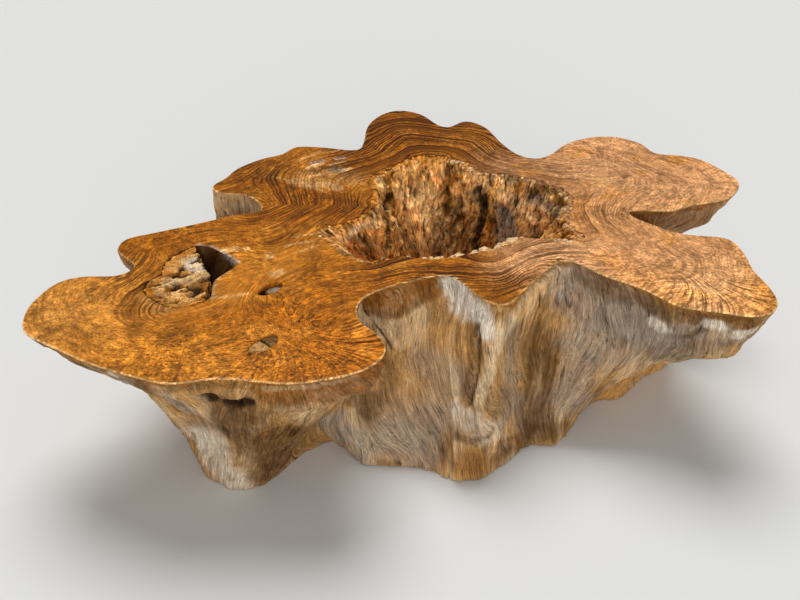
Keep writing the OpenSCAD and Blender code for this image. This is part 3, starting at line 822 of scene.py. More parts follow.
FLANK_TINTS = [
    # colour, width, strength, places
    ("bronze", 32, 1.0, [
        (-153, -375, 410), (-119, -331, 398), (-72, -300, 392), (-24, -279, 390), (33, -262, 392),
        (62, -251, 405),
    ]),
    ("umber", 9, 0.8, [
        (-84, -325, 362), (-48, -315, 352), (-30, -305, 364), (-11, -298, 354), (25, -276, 374),
    ]),
    ("sand", 12, 1.0, [(-140, -350, 412), (-131, -355, 384), (-118, -349, 358)]),
    ("sand", 26, 0.5, [(-40, -330, 328), (-45, -350, 300)]),
    ("umber", 14, 0.5, [(-65, -362, 297), (-65, -387, 254), (-75, -411, 201)]),
    ("slate", 90, 0.35, [(-60, -445, 110), (20, -450, 110)]),
    ("silver", 30, 1.1, [
        (88, -252, 412), (110, -280, 398), (130, -310, 390), (151, -349, 388), (169, -379, 372),
    ]),
    ("silver", 18, 0.6, [(100, -300, 372), (120, -330, 362)]),
    # painted shade along the groove of FLANK_RELIEF
    ("umber", 17, 0.65, [(136, -370, 350), (140, -402, 318), (134, -426, 270), (124, -450, 220)]),
    ("crevice_shade", 4, 0.8, [(148, -395, 340), (150, -431, 301), (141, -456, 251), (128, -465, 197)]),
    # pale wood and painted highlight along the raised ridge beside the groove
    ("sand", 20, 0.8, [(355, -199, 393), (308, -259, 393), (259, -324, 381), (219, -374, 365)]),
    ("honey", 12, 0.7, [(340, -220, 392), (284, -290, 384), (240, -345, 372)]),
    ("sand", 15, 1.0, [(202, -392, 352), (183, -423, 316), (169, -455, 271), (155, -478, 222)]),
    ("slate", 34, 0.4, [(232, -379, 342), (227, -399, 249), (243, -400, 150)]),
    ("umber", 26, 0.75, [(302, -300, 294), (295, -343, 200), (285, -386, 104), (296, -396, 44)]),
    ("umber", 34, 0.6, [(335, -314, 241), (329, -346, 169), (321, -385, 69)]),
    ("slate", 60, 0.85, [(401, -231, 366), (457, -286, 345), (527, -314, 336), (598, -337, 324)]),
    ("umber", 60, 0.25, [(430, -270, 350), (527, -314, 336), (640, -350, 330)]),
    ("slate", 44, 0.55, [(388, -307, 267), (425, -337, 228), (394, -370, 124)]),
    ("slate", 60, 0.5, [(459, -330, 270), (553, -353, 274), (645, -364, 298)]),
    ("silver", 26, 0.55, [(97, -468, 174), (145, -496, 167), (205, -462, 115), (158, -508, 132)]),
    ("umber", 10, 0.8, [(98, -498, 126), (146, -512, 113), (189, -483, 128)]),
    ("bronze", 40, 0.5, [(63, -490, 60), (116, -529, 51), (187, -501, 36)]),
    ("umber", 30, 0.8, [(214, -471, 48), (322, -400, 27), (373, -394, 42)]),
    ("umber", 24, 0.8, [(-154, -427, 169), (-119, -418, 174), (-85, -422, 171), (-115, -431, 139)]),
    ("slate", 36, 0.8, [(-209, -439, 126), (-173, -441, 70), (-141, -459, 29)]),
    ("umber", 24, 0.8, [
        (400, -215, 405), (470, -265, 396), (548, -298, 385), (629, -369, 390), (716, -392, 398),
        (792, -402, 405),
    ]),
    ("slate", 34, 0.6, [(700, -385, 345), (760, -390, 350)]),
    ("umber", 8, 0.8, [(590, -335, 350), (620, -350, 322), (660, -368, 330), (690, -380, 362)]),
    ("umber", 26, 0.5, [(578, -356, 270), (671, -370, 281), (746, -385, 316)]),
    ("silver", 16, 0.8, [(585, -325, 345), (605, -345, 335)]),
    ("silver", 14, 0.9, [(690, -385, 382), (722, -389, 377)]),
    ("silver", 16, 0.8, [(760, -390, 360), (795, -390, 365)]),
    ("honey", 70, 0.6, [(558, -249, 84), (632, -168, 41), (670, -129, 23)]),
    ("umber", 30, 0.6, [(488, -330, 128), (480, -300, 80)]),
    ("bronze", 60, 0.7, [(600, 60, 400), (730, 95, 370), (815, 110, 370)]),
    ("umber", 40, 0.25, [(600, 60, 395), (700, 95, 370)]),
    ("sand", 60, 0.5, [(-535, 150, 380), (-490, 140, 370), (-450, 130, 360)]),
    ("bronze", 44, 0.95, [(-317, -640, 390), (-230, -639, 385), (-145, -604, 385), (-85, -536, 385)]),
    # painted shade under the lip band of the front lobe
    ("umber", 36, 0.45, [(-330, -625, 325), (-256, -631, 335), (-190, -617, 330), (-90, -545, 310)]),
    ("sand", 9, 0.35, [(-330, -640, 405), (-230, -642, 408), (-145, -606, 408), (-85, -536, 408)]),
    ("umber", 75, 1.0, [
        (-400, -594, 267), (-365, -585, 201), (-334, -558, 119), (-306, -565, 175), (-328, -530, 65),
    ]),
    ("silver", 44, 0.7, [(-495, -559, 170), (-476, -550, 76), (-438, -559, 26)]),
    ("slate", 60, 0.6, [(-60, -480, 90), (10, -500, 60)]),
    # painted shade in cracks
    ("crevice_shade", 3, 1.0, [(-118, -339, 384), (-79, -349, 324), (-53, -368, 286)]),
    ("crevice_shade", 4, 0.8, [(-30, -400, 215), (-38, -425, 170)]),
    ("crevice_shade", 4, 0.8, [(-75, -430, 190), (-90, -450, 110), (-105, -465, 70)]),
    ("crevice_shade", 4, 0.8, [(225, -385, 280), (228, -395, 235)]),
    ("crevice_shade", 4, 0.8, [(150, -500, 150), (168, -490, 120)]),
    ("umber", 26, 0.75, [(-850, -470, 390), (-776, -535, 390), (-672, -594, 392), (-581, -626, 385)]),
    ("slate", 14, 0.8, [(-720, -575, 388), (-626, -611, 385)]),
    ("silver", 6, 0.6, [(-672, -594, 412), (-548, -634, 410)]),
    ("slate", 18, 0.8, [(-548, -634, 380), (-533, -618, 345), (-510, -597, 294)]),
    ("umber", 12, 0.6, [(-531, -644, 405), (-470, -631, 398), (-400, -626, 400)]),
    # painted shade in the holes and the slit of FLANK_RELIEF
    ("crevice_shade", 14, 1.0, [(-462, -614, 356), (-451, -599, 330)]),
    ("crevice_shade", 15, 1.0, [(-419, -585, 314), (-372, -618, 342)]),
    ("crevice_shade", 7, 1.0, [(302, -276, 381), (309, -275, 359)]),
]
FLANK_RELIEF = [
    # height, width, places
    (-9, 13, [(143, -370, 362), (150, -405, 332), (150, -431, 301), (141, -456, 251), (128, -465, 197)]),
    (8, 16, [
        (355, -200, 400), (305, -265, 390), (255, -335, 375), (215, -380, 365), (195, -395, 350),
        (165, -455, 265), (150, -480, 210),
    ]),
    (5, 12, [(365, -185, 400), (345, -245, 345), (325, -290, 285), (310, -350, 175), (305, -400, 15)]),
    (-4, 3, [(-118, -339, 384), (-79, -349, 324), (-53, -368, 286)]),
    (-8, 7, [(302, -276, 381), (309, -275, 359)]),
    (7, 26, [(100, -470, 165), (145, -500, 160), (205, -465, 110)]),
    (-14, 12, [(-462, -614, 356), (-451, -599, 330)]), (-16, 13, [(-419, -585, 314), (-372, -618, 342)]),
    (7, 14, [(-575, -635, 400), (-525, -635, 375), (-485, -600, 305), (-460, -585, 260)]),
    (5, 9, [(-84, -320, 390), (-48, -308, 382), (-11, -291, 378), (25, -270, 392)]),
]
HEART_TINTS = [
    # colour, width, strength, places
    # the first line is pale fibres and painted highlight along the raised rib of HEART_RELIEF; the dark lines
    # over its slots are painted shade
    ("straw", 44, 1.1, [(28, 274, 335), (37, 253, 297), (52, 239, 255), (69, 213, 202)]),
    ("straw", 34, 0.6, [(-13, 231, 328), (-1, 207, 275), (16, 188, 219)]),
    ("honey", 26, 0.8, [(-7, 282, 380), (37, 313, 389), (80, 291, 358)]),
    ("honey", 60, 0.9, [(-150, 0, 370), (-110, 60, 340), (-40, 150, 300)]),
    ("crevice_shade", 12, 1.0, [(-70, 218, 359), (-75, 150, 355), (-72, 123, 313), (-69, 88, 283)]),
    ("crevice_shade", 14, 1.0, [(186, 239, 373), (204, 219, 335), (195, 208, 274), (180, 199, 208)]),
    ("umber", 36, 0.8, [(125, 258, 277), (144, 217, 252), (139, 204, 208)]),
    ("umber", 22, 0.7, [(142, 270, 371), (159, 248, 351), (143, 246, 319)]),
    ("umber", 16, 0.8, [(94, 308, 392), (123, 316, 410), (150, 283, 413)]),
    ("slate", 28, 1.0, [(254, 191, 319), (271, 170, 289), (261, 155, 251)]),
    ("umber", 34, 0.8, [(342, 196, 399), (381, 150, 378), (402, 69, 397)]),
    ("slate", 20, 0.6, [(340, 180, 370), (390, 150, 370), (400, 80, 380)]),
    ("sand", 18, 0.6, [(261, 213, 372), (303, 190, 353), (330, 160, 322)]),
    ("umber", 20, 0.8, [(-168, -8, 393), (-143, -3, 363), (-117, 5, 332)]),
    ("sand", 9, 0.7, [(-181, -19, 381), (-147, 7, 395), (-103, 48, 388)]),
    ("crevice_shade", 9, 0.8, [(-30, 246, 369)]),
    ("straw", 12, 0.6, [(205, 251, 412), (247, 236, 408), (288, 223, 409)]),
    ("sand", 8, 0.6, [(-242, -45, 419), (-214, -90, 419), (-178, -150, 419)]),
    ("sand", 8, 0.7, [(50, -170, 419), (146, -142, 419), (216, -112, 419), (268, -75, 419)]),
]
HEART_RELIEF = [
    # height, width, places
    (-9, 12, [(-70, 218, 359), (-75, 150, 355), (-72, 123, 313), (-69, 88, 283)]),
    (-10, 14, [(186, 239, 373), (204, 219, 335), (195, 208, 274), (180, 199, 208)]),
    (5, 18, [(28, 274, 335), (37, 253, 297), (52, 239, 255), (69, 213, 202)]),
]


# Relief, colours and grain, and the pieces that carry them

def marked(base, points, table, seed, wander=0.034):
    """Lays soft ragged marks of colour along lines of places; wander is how far they stray, in metres."""
    warp = np.stack([layers(points / (1.6 * wander), 4, seed + k, 0.65) for k in range(3)], axis=-1) * wander
    patchy = 0.80 + 0.55 * layers(points / 0.030, 4, seed + 3, 0.7)
    for name, width, strength, path in table:
        gap = near(points + warp * min(1, width / 30), path) * 1000
        share = strength * patchy * smooth(width * 1.5, width * 0.55, gap)
        base = mix(base, colour(name), np.clip(share, 0, 1))
    return base


def lifted(points, table, seed):
    """Heights in metres of ridges and grooves along lines of places."""
    wander = 1 + 0.25 * layers(points / 0.025, 2, seed)
    total = np.zeros(points.shape[:-1])
    for height, width, path in table:
        gap = near(points, path) * wander * 1000
        total += height / 1000 * np.exp(-(gap / width) ** 2)
    return total


def flow_of(grid, reach):
    """A coordinate that runs round a closed grid and down it, in metres."""
    turn = np.arange(len(grid)) / len(grid) * 2 * math.pi
    around = np.linalg.norm(np.roll(grid[:, 0], -1, axis=0) - grid[:, 0], axis=1).sum() / (2 * math.pi)
    circle = [around * np.cos(turn)[:, None] + 0 * reach, around * np.sin(turn)[:, None] + 0 * reach]
    flow = np.stack([*circle, reach], axis=2)
    sway = np.stack([layers(grid / 0.20, 3, k) for k in (31, 32)], axis=2) * 0.030
    lean = layers(grid / 0.40, 2, 34)[..., None] * reach[..., None] * 0.7
    across = np.stack([-np.sin(turn), np.cos(turn)], axis=1)[:, None]
    flow[..., :2] += sway + lean * across
    return flow


def flank():
    """The even flank, then its points with relief, its normals with and without it, colours and grain."""
    if "flank_made" in cache:
        return cache["flank_made"]
    grid, deep = grids()["flank"]
    facing = normals(grid)
    flow = flow_of(grid, deep)
    # each form is weakest at the lip and grows down the flank
    grow = smooth(0.004, 0.05, deep)
    low = smooth(0.10, 0.45, deep)
    size = sizes()
    foot = smooth(SOLE + 0.004, SOLE + 0.07, grid[..., 2])
    flute = level(ridged(flow * [1, 1, 0.16] / 0.055, 3, 5)) * (0.5 + 0.7 * low) * (0.15 + 0.85 * foot)
    hump = 0.0028 * level(layers(flow * [1, 1, 0.55] / 0.085, 3, 9)) * grow
    strand = level(layers(flow * [1, 1, 0.07] / 0.0075, 2, 13))
    chip = level(layers(grid / 0.011, 3, 17))
    crack = smooth(0.07, 0.0, np.abs(noise(flow * [1, 1, 0.08] / 0.032, 23)))
    check = crack * smooth(0.0, 0.4, layers(grid / 0.09, 2, 27))
    rise = size.flute * flute * grow + hump
    rise = rise + size.fibre * (0.6 * strand + 0.4 * chip) * (0.3 + 0.7 * grow) - 0.004 * check * grow
    rise = rise + lifted(grid, FLANK_RELIEF, 41) * smooth(0.0, 0.02, deep)
    bare = grid + facing * rise[..., None]
    # the relief stays above the sole and below the rounded edge, and the first row keeps its height
    bare[..., 2] = np.maximum(bare[..., 2], SOLE)
    bare[:, 0, 2] = grid[:, 0, 2]
    bare[..., 2] = np.minimum(bare[..., 2], TOP - 0.0035)
    # colours
    hue = level(layers(flow * [1, 1, 0.5] / 0.11, 4, 51, 0.6))
    cool = level(layers(grid / 0.20, 3, 55))
    ragged = deep + 0.010 * level(layers(grid / 0.035, 4, 61, 0.65))
    tint = washed(colour("tan"), [
        ("sand", 0.55 * smooth(-0.2, 1.6, hue)),
        ("umber", 0.40 * smooth(-0.1, -1.8, hue)),
        ("slate", 0.36 * smooth(-0.6, 1.4, cool)),
        ("bronze", 0.75 * smooth(0.032, 0.014, ragged)),
        ("honey", 0.30 * smooth(0.012, 0.003, ragged)),
    ])
    # painted shade where the relief is carved in and in the checks, painted highlight where it stands out
    carved = rise - hump
    tint = washed(marked(tint, grid, FLANK_TINTS, 43), [
        ("crevice_shade", 0.60 * smooth(-0.002, -0.012, carved)),
        ("sand", 0.30 * smooth(0.003, 0.009, carved)),
        ("crevice_shade", 0.6 * check * grow),
    ])
    cache["flank_made"] = (grid, bare, normals(bare), facing, tint, flow)
    return cache["flank_made"]


def closed_skin(name, outer, look, base_facing, tint, flow, thick, inner):
    """A skin closed on itself by a hidden inner side of a few rows, some millimetres behind it."""
    picks = np.linspace(outer.shape[1] - 1, 0, inner).round().astype(int)
    inside = outer[:, picks] - base_facing[:, picks] * thick
    # the hidden side keeps clear of the sole and of the face
    inside[:, 0, 2] = np.maximum(inside[:, 0, 2], SOLE + 0.004)
    inside[..., 2] = np.minimum(inside[..., 2], TOP - 0.0012)
    grid = np.concatenate([outer, inside], axis=1)
    facing = np.concatenate([look, -base_facing[:, picks]], axis=1)
    tints = np.concatenate([tint, tint[:, picks]], axis=1)
    flows = np.concatenate([flow, flow[:, picks]], axis=1)
    return skin_object(name, grid, {"tint": tints, "flow": flows, "facing": facing})


def build_flanks():
    """The flanks: fine columns above the seam, every second one below it."""
    fields = flank()[1:]
    material = weathered("weathered_teak", rough=0.82, strand=190.0, contrast=0.76, lean=0.075, crest=0.15)
    upper = [field[:, :SPLIT + 1].copy() for field in fields]
    for field in upper[:2]:
        field[1::2, SPLIT] = (field[0::2, SPLIT] + np.roll(field[0::2, SPLIT], -1, axis=0)) / 2
    finish_piece(closed_skin("upper_flanks", *upper, thick=0.008, inner=5), material, "teak", "root_body")
    lower = [field[::2, SPLIT:] for field in fields]
    finish_piece(closed_skin("lower_flanks", *lower, thick=0.008, inner=6), material, "teak", "root_body")


def rim_lines():
    """The lines that bound the polished face: its edge, then the hollow, the pocket and two knots."""
    edge = at_height(flank()[1][:, 0], TOP - sizes().edge_round)
    rim = resample(grids()["hollow"][0][:, 0], RIM_POINTS)
    mouth = resample(grids()["pocket"][0][:, 0], MOUTH_POINTS)
    return edge, rim, mouth, grids()["sockets"]


def at_height(ring, z):
    """A line moved to one height."""
    ring = ring.copy()
    ring[:, 2] = z
    return ring


def sweep(bm, loop, lines):
    """Extrudes a closed loop of points through a list of lines."""
    for line in lines:
        edges = [bm.edges.get((a, b)) for a, b in zip(loop, loop[1:] + loop[:1])]
        grown = bmesh.ops.extrude_edge_only(bm, edges=edges)["geom"]
        made = {v for v in grown if isinstance(v, bmesh.types.BMVert)}
        after = [next(e.other_vert(v) for e in v.link_edges if e.other_vert(v) in made) for v in loop]
        for v, place in zip(after, line):
            v.co = place
        loop = after
    return loop


def build_top():
    """The polished face with its rounded edge, as deep as the slab."""
    edge, rim, mouth, sockets = rim_lines()
    size = sizes()
    radius = size.edge_round
    face = at_height(inset(edge, radius), TOP)
    bite = level(layers(rim / 0.030, 4, 71, 0.7))[:, None] * (0.0022 + 0.0048 * worn(rim))
    away = inset(rim, -1.0) - rim
    hole = at_height(rim + away * np.maximum(0.0015, 0.0055 + 0.016 * worn(rim) + bite), TOP)
    ragged = 0.0008 + 0.0012 * layers(mouth / 0.012, 3, 77)[:, None]
    pocket = at_height(mouth + (inset(mouth, -1.0) - mouth) * ragged, TOP)
    loops = [face, hole, pocket] + [at_height(socket, TOP) for socket in sockets]
    # places inside, an even step apart in rows of triangles, and clear of the lines
    lines_near = tree_of(np.concatenate(loops))
    step = 0.0056
    low, high = edge.min(axis=0), edge.max(axis=0)
    places = []
    for j, y in enumerate(np.arange(low[1], high[1], step * 0.866)):
        for x in np.arange(low[0] + (j % 2) * step / 2, high[0], step):
            if lines_near.find((x, y, 0))[2] > step * 0.62:
                places.append((x, y))
    flat = [tuple(place[:2]) for loop in loops for place in loop]
    faces, start = [], 0
    for loop in loops:
        faces.append(list(range(start, start + len(loop))))
        start += len(loop)
    made = geometry.delaunay_2d_cdt([Vector(place) for place in flat + places], [], faces, 1, 1e-7, True)
    verts, tris, kept = made[0], made[2], made[5]
    back = {source: k for k, sources in enumerate(made[3]) for source in sources}
    bm = bmesh.new()
    here = [bm.verts.new((v.x, v.y, TOP)) for v in verts]
    for tri, inside in zip(tris, kept):
        if list(inside) == [0]:
            bm.faces.new([here[k] for k in tri])
    spare = [v for v in bm.verts if not v.link_faces]
    lines = [[here[back[k]] for k in face] for face in faces]
    # edge: a quarter round in four steps, then under the top to the slab's lower face
    floor = TOP - size.slab
    rounds = []
    for a in (0.39, 0.79, 1.18, math.pi / 2):
        rounds.append(at_height(inset(edge, radius * (1 - math.sin(a))), TOP - radius * (1 - math.cos(a))))
    rounds.append(at_height(inset(edge, 0.0009), TOP - radius - 0.0025))
    rounds.append(at_height(inset(edge, 0.014, soft=6.0), floor))
    ends = [sweep(bm, lines[0], rounds)]
    lip = [at_height(hole - away * 0.0012, TOP - 0.0015), at_height(hole, TOP - 0.005)]
    ends.append(sweep(bm, lines[1], lip + [at_height(hole + away * 0.006, floor)]))
    for line, ring in zip(lines[2:], loops[2:]):
        ends.append(sweep(bm, line, [at_height(ring, TOP - 0.006), at_height(ring, floor)]))
    bmesh.ops.delete(bm, geom=spare, context="VERTS")
    bottom = [bm.edges.get((a, b)) for loop in ends for a, b in zip(loop, loop[1:] + loop[:1])]
    bmesh.ops.triangle_fill(bm, edges=bottom, use_beauty=False)
    bmesh.ops.recalc_face_normals(bm, faces=bm.faces)
    turn_outward(bm)
    in_order(bm)
    for face in bm.faces:
        face.smooth = True
    bm.verts.index_update()
    shown = [e.verts for e in bm.edges if min(v.co.z for v in e.verts) > TOP - radius * 1.01]
    ties = np.array([sorted(v.index for v in verts) for verts in shown])
    mesh = mesh_from(bm, "polished_top")
    top_fields(mesh, ties, edge, rim, mouth, sockets)
    finish_piece(new_object("polished_top", mesh), polished_teak(), "teak", "root_body")


def top_fields(mesh, ties, edge, rim, mouth, sockets):
    """Colour, growth lines, grain and a painted edge highlight of the polished face, kept on its points."""
    points = read_points(mesh)
    flat = points * [1, 1, 0]
    outer = tree_of(edge)
    hits = [outer.find(p) for p in flat]
    to_edge = np.array([hit[2] for hit in hits])
    place = np.array([hit[1] for hit in hits]) / len(edge) * 2 * math.pi
    to_rim = distances(tree_of(rim), flat)
    to_mouth = distances(tree_of(mouth), flat)
    to_in = -0.03 * np.log(np.exp(-to_rim / 0.03) + 0.9 * np.exp(-to_mouth / 0.03) + 1e-30)
    to_in = np.maximum(to_in, 0)
    course = (to_in - to_edge) / 2
    turned = np.exp(1j * place)
    tied = np.bincount(ties.ravel(), minlength=len(points))
    degree = np.maximum(tied, 1)

    def relax(field, times):
        for _ in range(times):
            field = np.where(tied > 0, 0.4 * field + 0.6 * beside(field, ties, degree), field)
        return field

    course = relax(course, 70)
    real, imag = relax(turned.real, 120), relax(turned.imag, 120)
    turned = (real + 1j * imag) / np.maximum(np.hypot(real, imag), 1e-6)
    for socket in sockets:
        middle = socket.mean(axis=0)
        gap = np.hypot(points[:, 0] - middle[0], points[:, 1] - middle[1])
        course = course + 0.012 * np.exp(-(gap / 0.045) ** 2)
    for x0, y0, x1, y1, reach, height in RIDGES:
        start, way = np.array([x0, y0]) / 1000, np.array([x1 - x0, y1 - y0]) / 1000
        t = np.clip((points[:, :2] - start) @ way / (way @ way), 0, 1)
        gap = np.linalg.norm(points[:, :2] - start - t[:, None] * way, axis=1)
        course = course + height / 1000 * (1 - 0.8 * t) * np.exp(-gap * 1000 / reach)
    around = np.linalg.norm(np.roll(edge, -1, axis=0) - edge, axis=1).sum() / (2 * math.pi)
    store(mesh, "ring", course)
    store(mesh, "flow", np.stack([course, around * turned.real, around * turned.imag], 1))
    store(mesh, "lined", 0.15 + 0.85 * spots(points, RING_SPOTS))
    store(mesh, "burr", 0.14 + 0.86 * spots(points, BURR_SPOTS))
    store(mesh, "rays", spots(points, RAY_SPOTS))
    weight = np.full(len(points), 0.25)
    tint = np.zeros((len(points), 3)) + colour("amber") * 0.25
    drift = points * 1000
    drift = drift + np.stack([layers(points / 0.12, 3, k) for k in (81, 82, 83)], 1) * 45
    for x, y, reach, name, strength in TOP_TINTS:
        share = strength * np.exp(-(np.hypot(drift[:, 0] - x, drift[:, 1] - y) / reach) ** 2)
        tint += colour(name) * share[:, None]
        weight += share
    tint = tint / weight[:, None]
    cloud = level(layers(points / 0.075, 4, 87, 0.6))
    tint = washed(tint, [
        ("chestnut", 0.40 * smooth(0.1, 1.9, cloud) * smooth(0.55, 0.15, points[:, 0])),
        ("golden", 0.45 * smooth(-0.4, -2.0, cloud)),
    ])
    # painted highlight: a pale line along the rounded edge
    edge_highlight = smooth(0.0038, 0.0015, to_edge)
    tint = washed(marked(tint, points, TOP_MARKS, 85, 0.008), [
        ("straw", 0.75 * edge_highlight),
        ("walnut", 0.35 * smooth(0.012, 0.004, to_mouth) * (1 - edge_highlight)),
    ])
    store(mesh, "tint", tint)


def inward(grid, row):
    """Normals of a hollow's grid towards its middle, judged at one row."""
    facing = normals(grid)
    out = ((grid[:, row] - grid.mean(axis=(0, 1))) * facing[:, row]).sum() > 0
    return -facing if out else facing


def seen_normals(bare, facing):
    """Normals of a grid with relief, on the same side as those without it."""
    look = normals(bare)
    return look * np.sign((look * facing).sum())


LIP_START = 0.034  # how far outside the rim the crumbled lip starts, hidden below the face
LIP_ROWS = (0.024, 0.017, 0.011, 0.005)  # and how far outside it the next rows lie


def build_heart():
    """The ragged wall of the hollow, and the crumbled lip that covers the cut rim of the face."""
    grid, deep = grids()["hollow"]
    facing = inward(grid, 40)
    flow = flow_of(grid, deep)
    rib = level(ridged(flow * [1, 1, 0.36] / 0.046, 4, 101))
    lump = level(ridged(grid / 0.055, 4, 105))
    shred = level(ridged(flow * [1, 1, 0.45] / 0.015, 3, 109))
    grit = level(layers(grid / 0.007, 2, 113))
    ease = smooth(0.0, 0.03, deep)
    rise = 0.85 * rib * (0.4 + 0.6 * ease) + 0.75 * lump * ease + 0.34 * shred + 0.12 * grit
    rise = sizes().heart_rib * rise + lifted(grid, HEART_RELIEF, 117)
    # no rib stands far out over the rim
    rise = np.where(deep < 0.004, np.minimum(rise, 0.002), rise)
    bare = grid + facing * rise[..., None]
    bare[..., 2] = np.clip(bare[..., 2], SOLE, TOP - FLUSH)
    top = grid[:, 0]
    away = inset(top, -1.0) - top
    crest = layers(top / 0.012, 3, 121)[:, None]
    wide = 1 + 1.1 * worn(top)
    lip = [at_height(top + away * LIP_START * wide, TOP - 0.015)]
    lip += [top + away * wide * (share + 0.004 * crest) for share in LIP_ROWS]
    # the rows of the lip rise and fall, up to 1 mm below the face
    for k in range(1, 5):
        lip[k][:, 2] = np.minimum(TOP - 0.001, TOP - 0.0035 + 0.007 * layers(lip[k] / 0.014, 4, 121 + k, 0.7))
    bare = np.concatenate([np.stack(lip, axis=1), bare[:, 1:]], axis=1)
    fields = [flow, facing, rise, deep, grid]
    fields = [np.concatenate([np.repeat(field[:, :1], 5, axis=1), field[:, 1:]], axis=1) for field in fields]
    flow, facing, rise, deep, base = fields
    flow[:, :5, 2] = -wide * (LIP_START, *LIP_ROWS)
    hue = level(layers(flow * [1, 1, 0.4] / 0.045, 4, 131, 0.65))
    tint = washed(colour("golden"), [
        ("honey", smooth(-1.0, 0.0, hue)),
        ("sand", 0.35 * smooth(0.2, 1.5, hue)),
        ("umber", 0.55 * smooth(-0.5, -1.5, hue)),
    ])
    tint = marked(tint, base, HEART_TINTS, 133)
    # the lip carries the colour of the face over the first rows
    shore = np.zeros(deep.shape)
    shore[:, :8] = (1.0, 1.0, 0.95, 0.9, 0.8, 0.6, 0.4, 0.2)
    # painted highlight on the raised ribs and painted shade in the deep grooves
    lit = smooth(0.000, 0.007, rise) * smooth(-0.35, 0.35, layers(base / 0.05, 3, 135)) * (1 - 0.7 * shore)
    tint = washed(tint, [("straw", 0.85 * lit), ("crevice_shade", 0.70 * smooth(-0.006, -0.013, rise))])
    turf = mix(colour("amber"), colour("blush"), smooth(0.05, 0.30, base[..., 0]))
    tint = mix(tint, turf, shore * smooth(-0.9, -0.1, layers(bare / 0.02, 3, 137)))
    # painted shade in the gaps between the crumbled bits of the lip
    tint = mix(tint, colour("crevice_shade"), 0.8 * (shore > 0) * smooth(0.10, 0.40, layers(bare / 0.012, 3, 139)))
    material = weathered(
        "decayed_heartwood", rough=0.9, strand=62.0, contrast=1.35, bump_size=0.006, lean=0.34, crest=0.70,
        gap=0.80, pale="straw",
    )
    look = seen_normals(bare, facing)
    piece = closed_skin("heart_wall", bare, look, facing, tint, flow, thick=0.010, inner=6)
    finish_piece(piece, material, "dead_wood", "root_body")


def build_pocket():
    """The wall of the pocket round the burl and its shaft."""
    grid, reach = grids()["pocket"]
    facing = inward(grid, 20)
    flow = flow_of(grid, reach)
    rise = 0.0022 * (ridged(flow * [1, 1, 0.2] / 0.02, 3, 141) - 0.5) + 0.001 * layers(grid / 0.01, 2, 143)
    rise = rise * smooth(0.0, 0.01, reach)
    bare = grid - facing * np.abs(rise)[..., None]
    bare[..., 2] = np.minimum(bare[..., 2], TOP - 0.0008)
    hue = layers(flow * [1, 1, 0.3] / 0.03, 3, 145)
    bleached = smooth(0.016, 0.004, reach) * smooth(0.0, 0.05, grid[..., 0] + 0.50)
    tint = washed(colour("walnut"), [
        ("umber", smooth(-0.3, 0.4, hue)),
        ("silver", 0.5 * bleached),
        # painted shade deeper down the shaft
        ("crevice_shade", 0.6 * smooth(0.02, 0.12, reach)),
    ])
    material = weathered("pocket_wall", rough=0.85, strand=180.0, contrast=0.7)
    look = seen_normals(bare, facing)
    piece = closed_skin("pocket_wall", bare, look, facing, tint, flow, thick=0.006, inner=6)
    finish_piece(piece, material, "teak", "root_body")


def build_sole():
    """A thin sawn plate between the flanks and the hollow, with holes for the pads."""
    bm = bmesh.new()
    # 1.5 mm inside the flanks, 2 mm outside the throat, 0.6 mm round the pads and 4 mm thick
    base = resample(inset(at_height(flank()[1][::2, -1], SOLE), 0.0015, soft=3.0), 700)
    throat = resample(at_height(grids()["hollow"][0][:, -1], SOLE), 240)
    throat = throat + (inset(throat, -1.0) - throat) * 0.002
    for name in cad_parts:
        if name.startswith("pad_") and name != "pad_screws":
            low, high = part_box(name)
            radius = (high.x - low.x) / 2 + 0.0006
            for v in bmesh.ops.create_circle(bm, cap_ends=False, segments=42, radius=radius)["verts"]:
                v.co += Vector(((low.x + high.x) / 2, (low.y + high.y) / 2, SOLE))
    for ring in (base, throat):
        verts = [bm.verts.new(p) for p in ring]
        for a, b in zip(verts, verts[1:] + verts[:1]):
            bm.edges.new((a, b))
    bmesh.ops.triangle_fill(bm, edges=bm.edges, use_beauty=True)
    up = bmesh.ops.extrude_face_region(bm, geom=bm.faces)["geom"]
    bmesh.ops.translate(bm, verts=[v for v in up if isinstance(v, bmesh.types.BMVert)], vec=(0, 0, 0.004))
    bmesh.ops.recalc_face_normals(bm, faces=bm.faces)
    turn_outward(bm)
    in_order(bm)
    finish_piece(new_object("sole", mesh_from(bm, "sole")), sawn_sole(), "teak", "root_body")


def remeshed(name, node, voxel):
    """A CAD node's shape with an even fine mesh, its points and its normals."""
    bm = bmesh.new()
    bm.from_mesh(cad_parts[node].data)
    bmesh.ops.remove_doubles(bm, verts=bm.verts, dist=WELD)
    piece = new_object(name, mesh_from(bm, name))
    modifier = piece.modifiers.new("even mesh", "REMESH")
    modifier.mode = "VOXEL"
    modifier.voxel_size = voxel
    bpy.context.view_layer.update()
    made = bpy.data.meshes.new_from_object(piece.evaluated_get(bpy.context.evaluated_depsgraph_get()))
    piece.modifiers.clear()
    piece.data = made
    return piece, read_points(made), read_points(made, "normal")


def set_points(piece, points):
    """Moves the points of a piece and shades it smooth."""
    piece.data.vertices.foreach_set("co", points.astype(np.float32).reshape(-1))
    for face in piece.data.polygons:
        face.use_smooth = True
    piece.data.update()


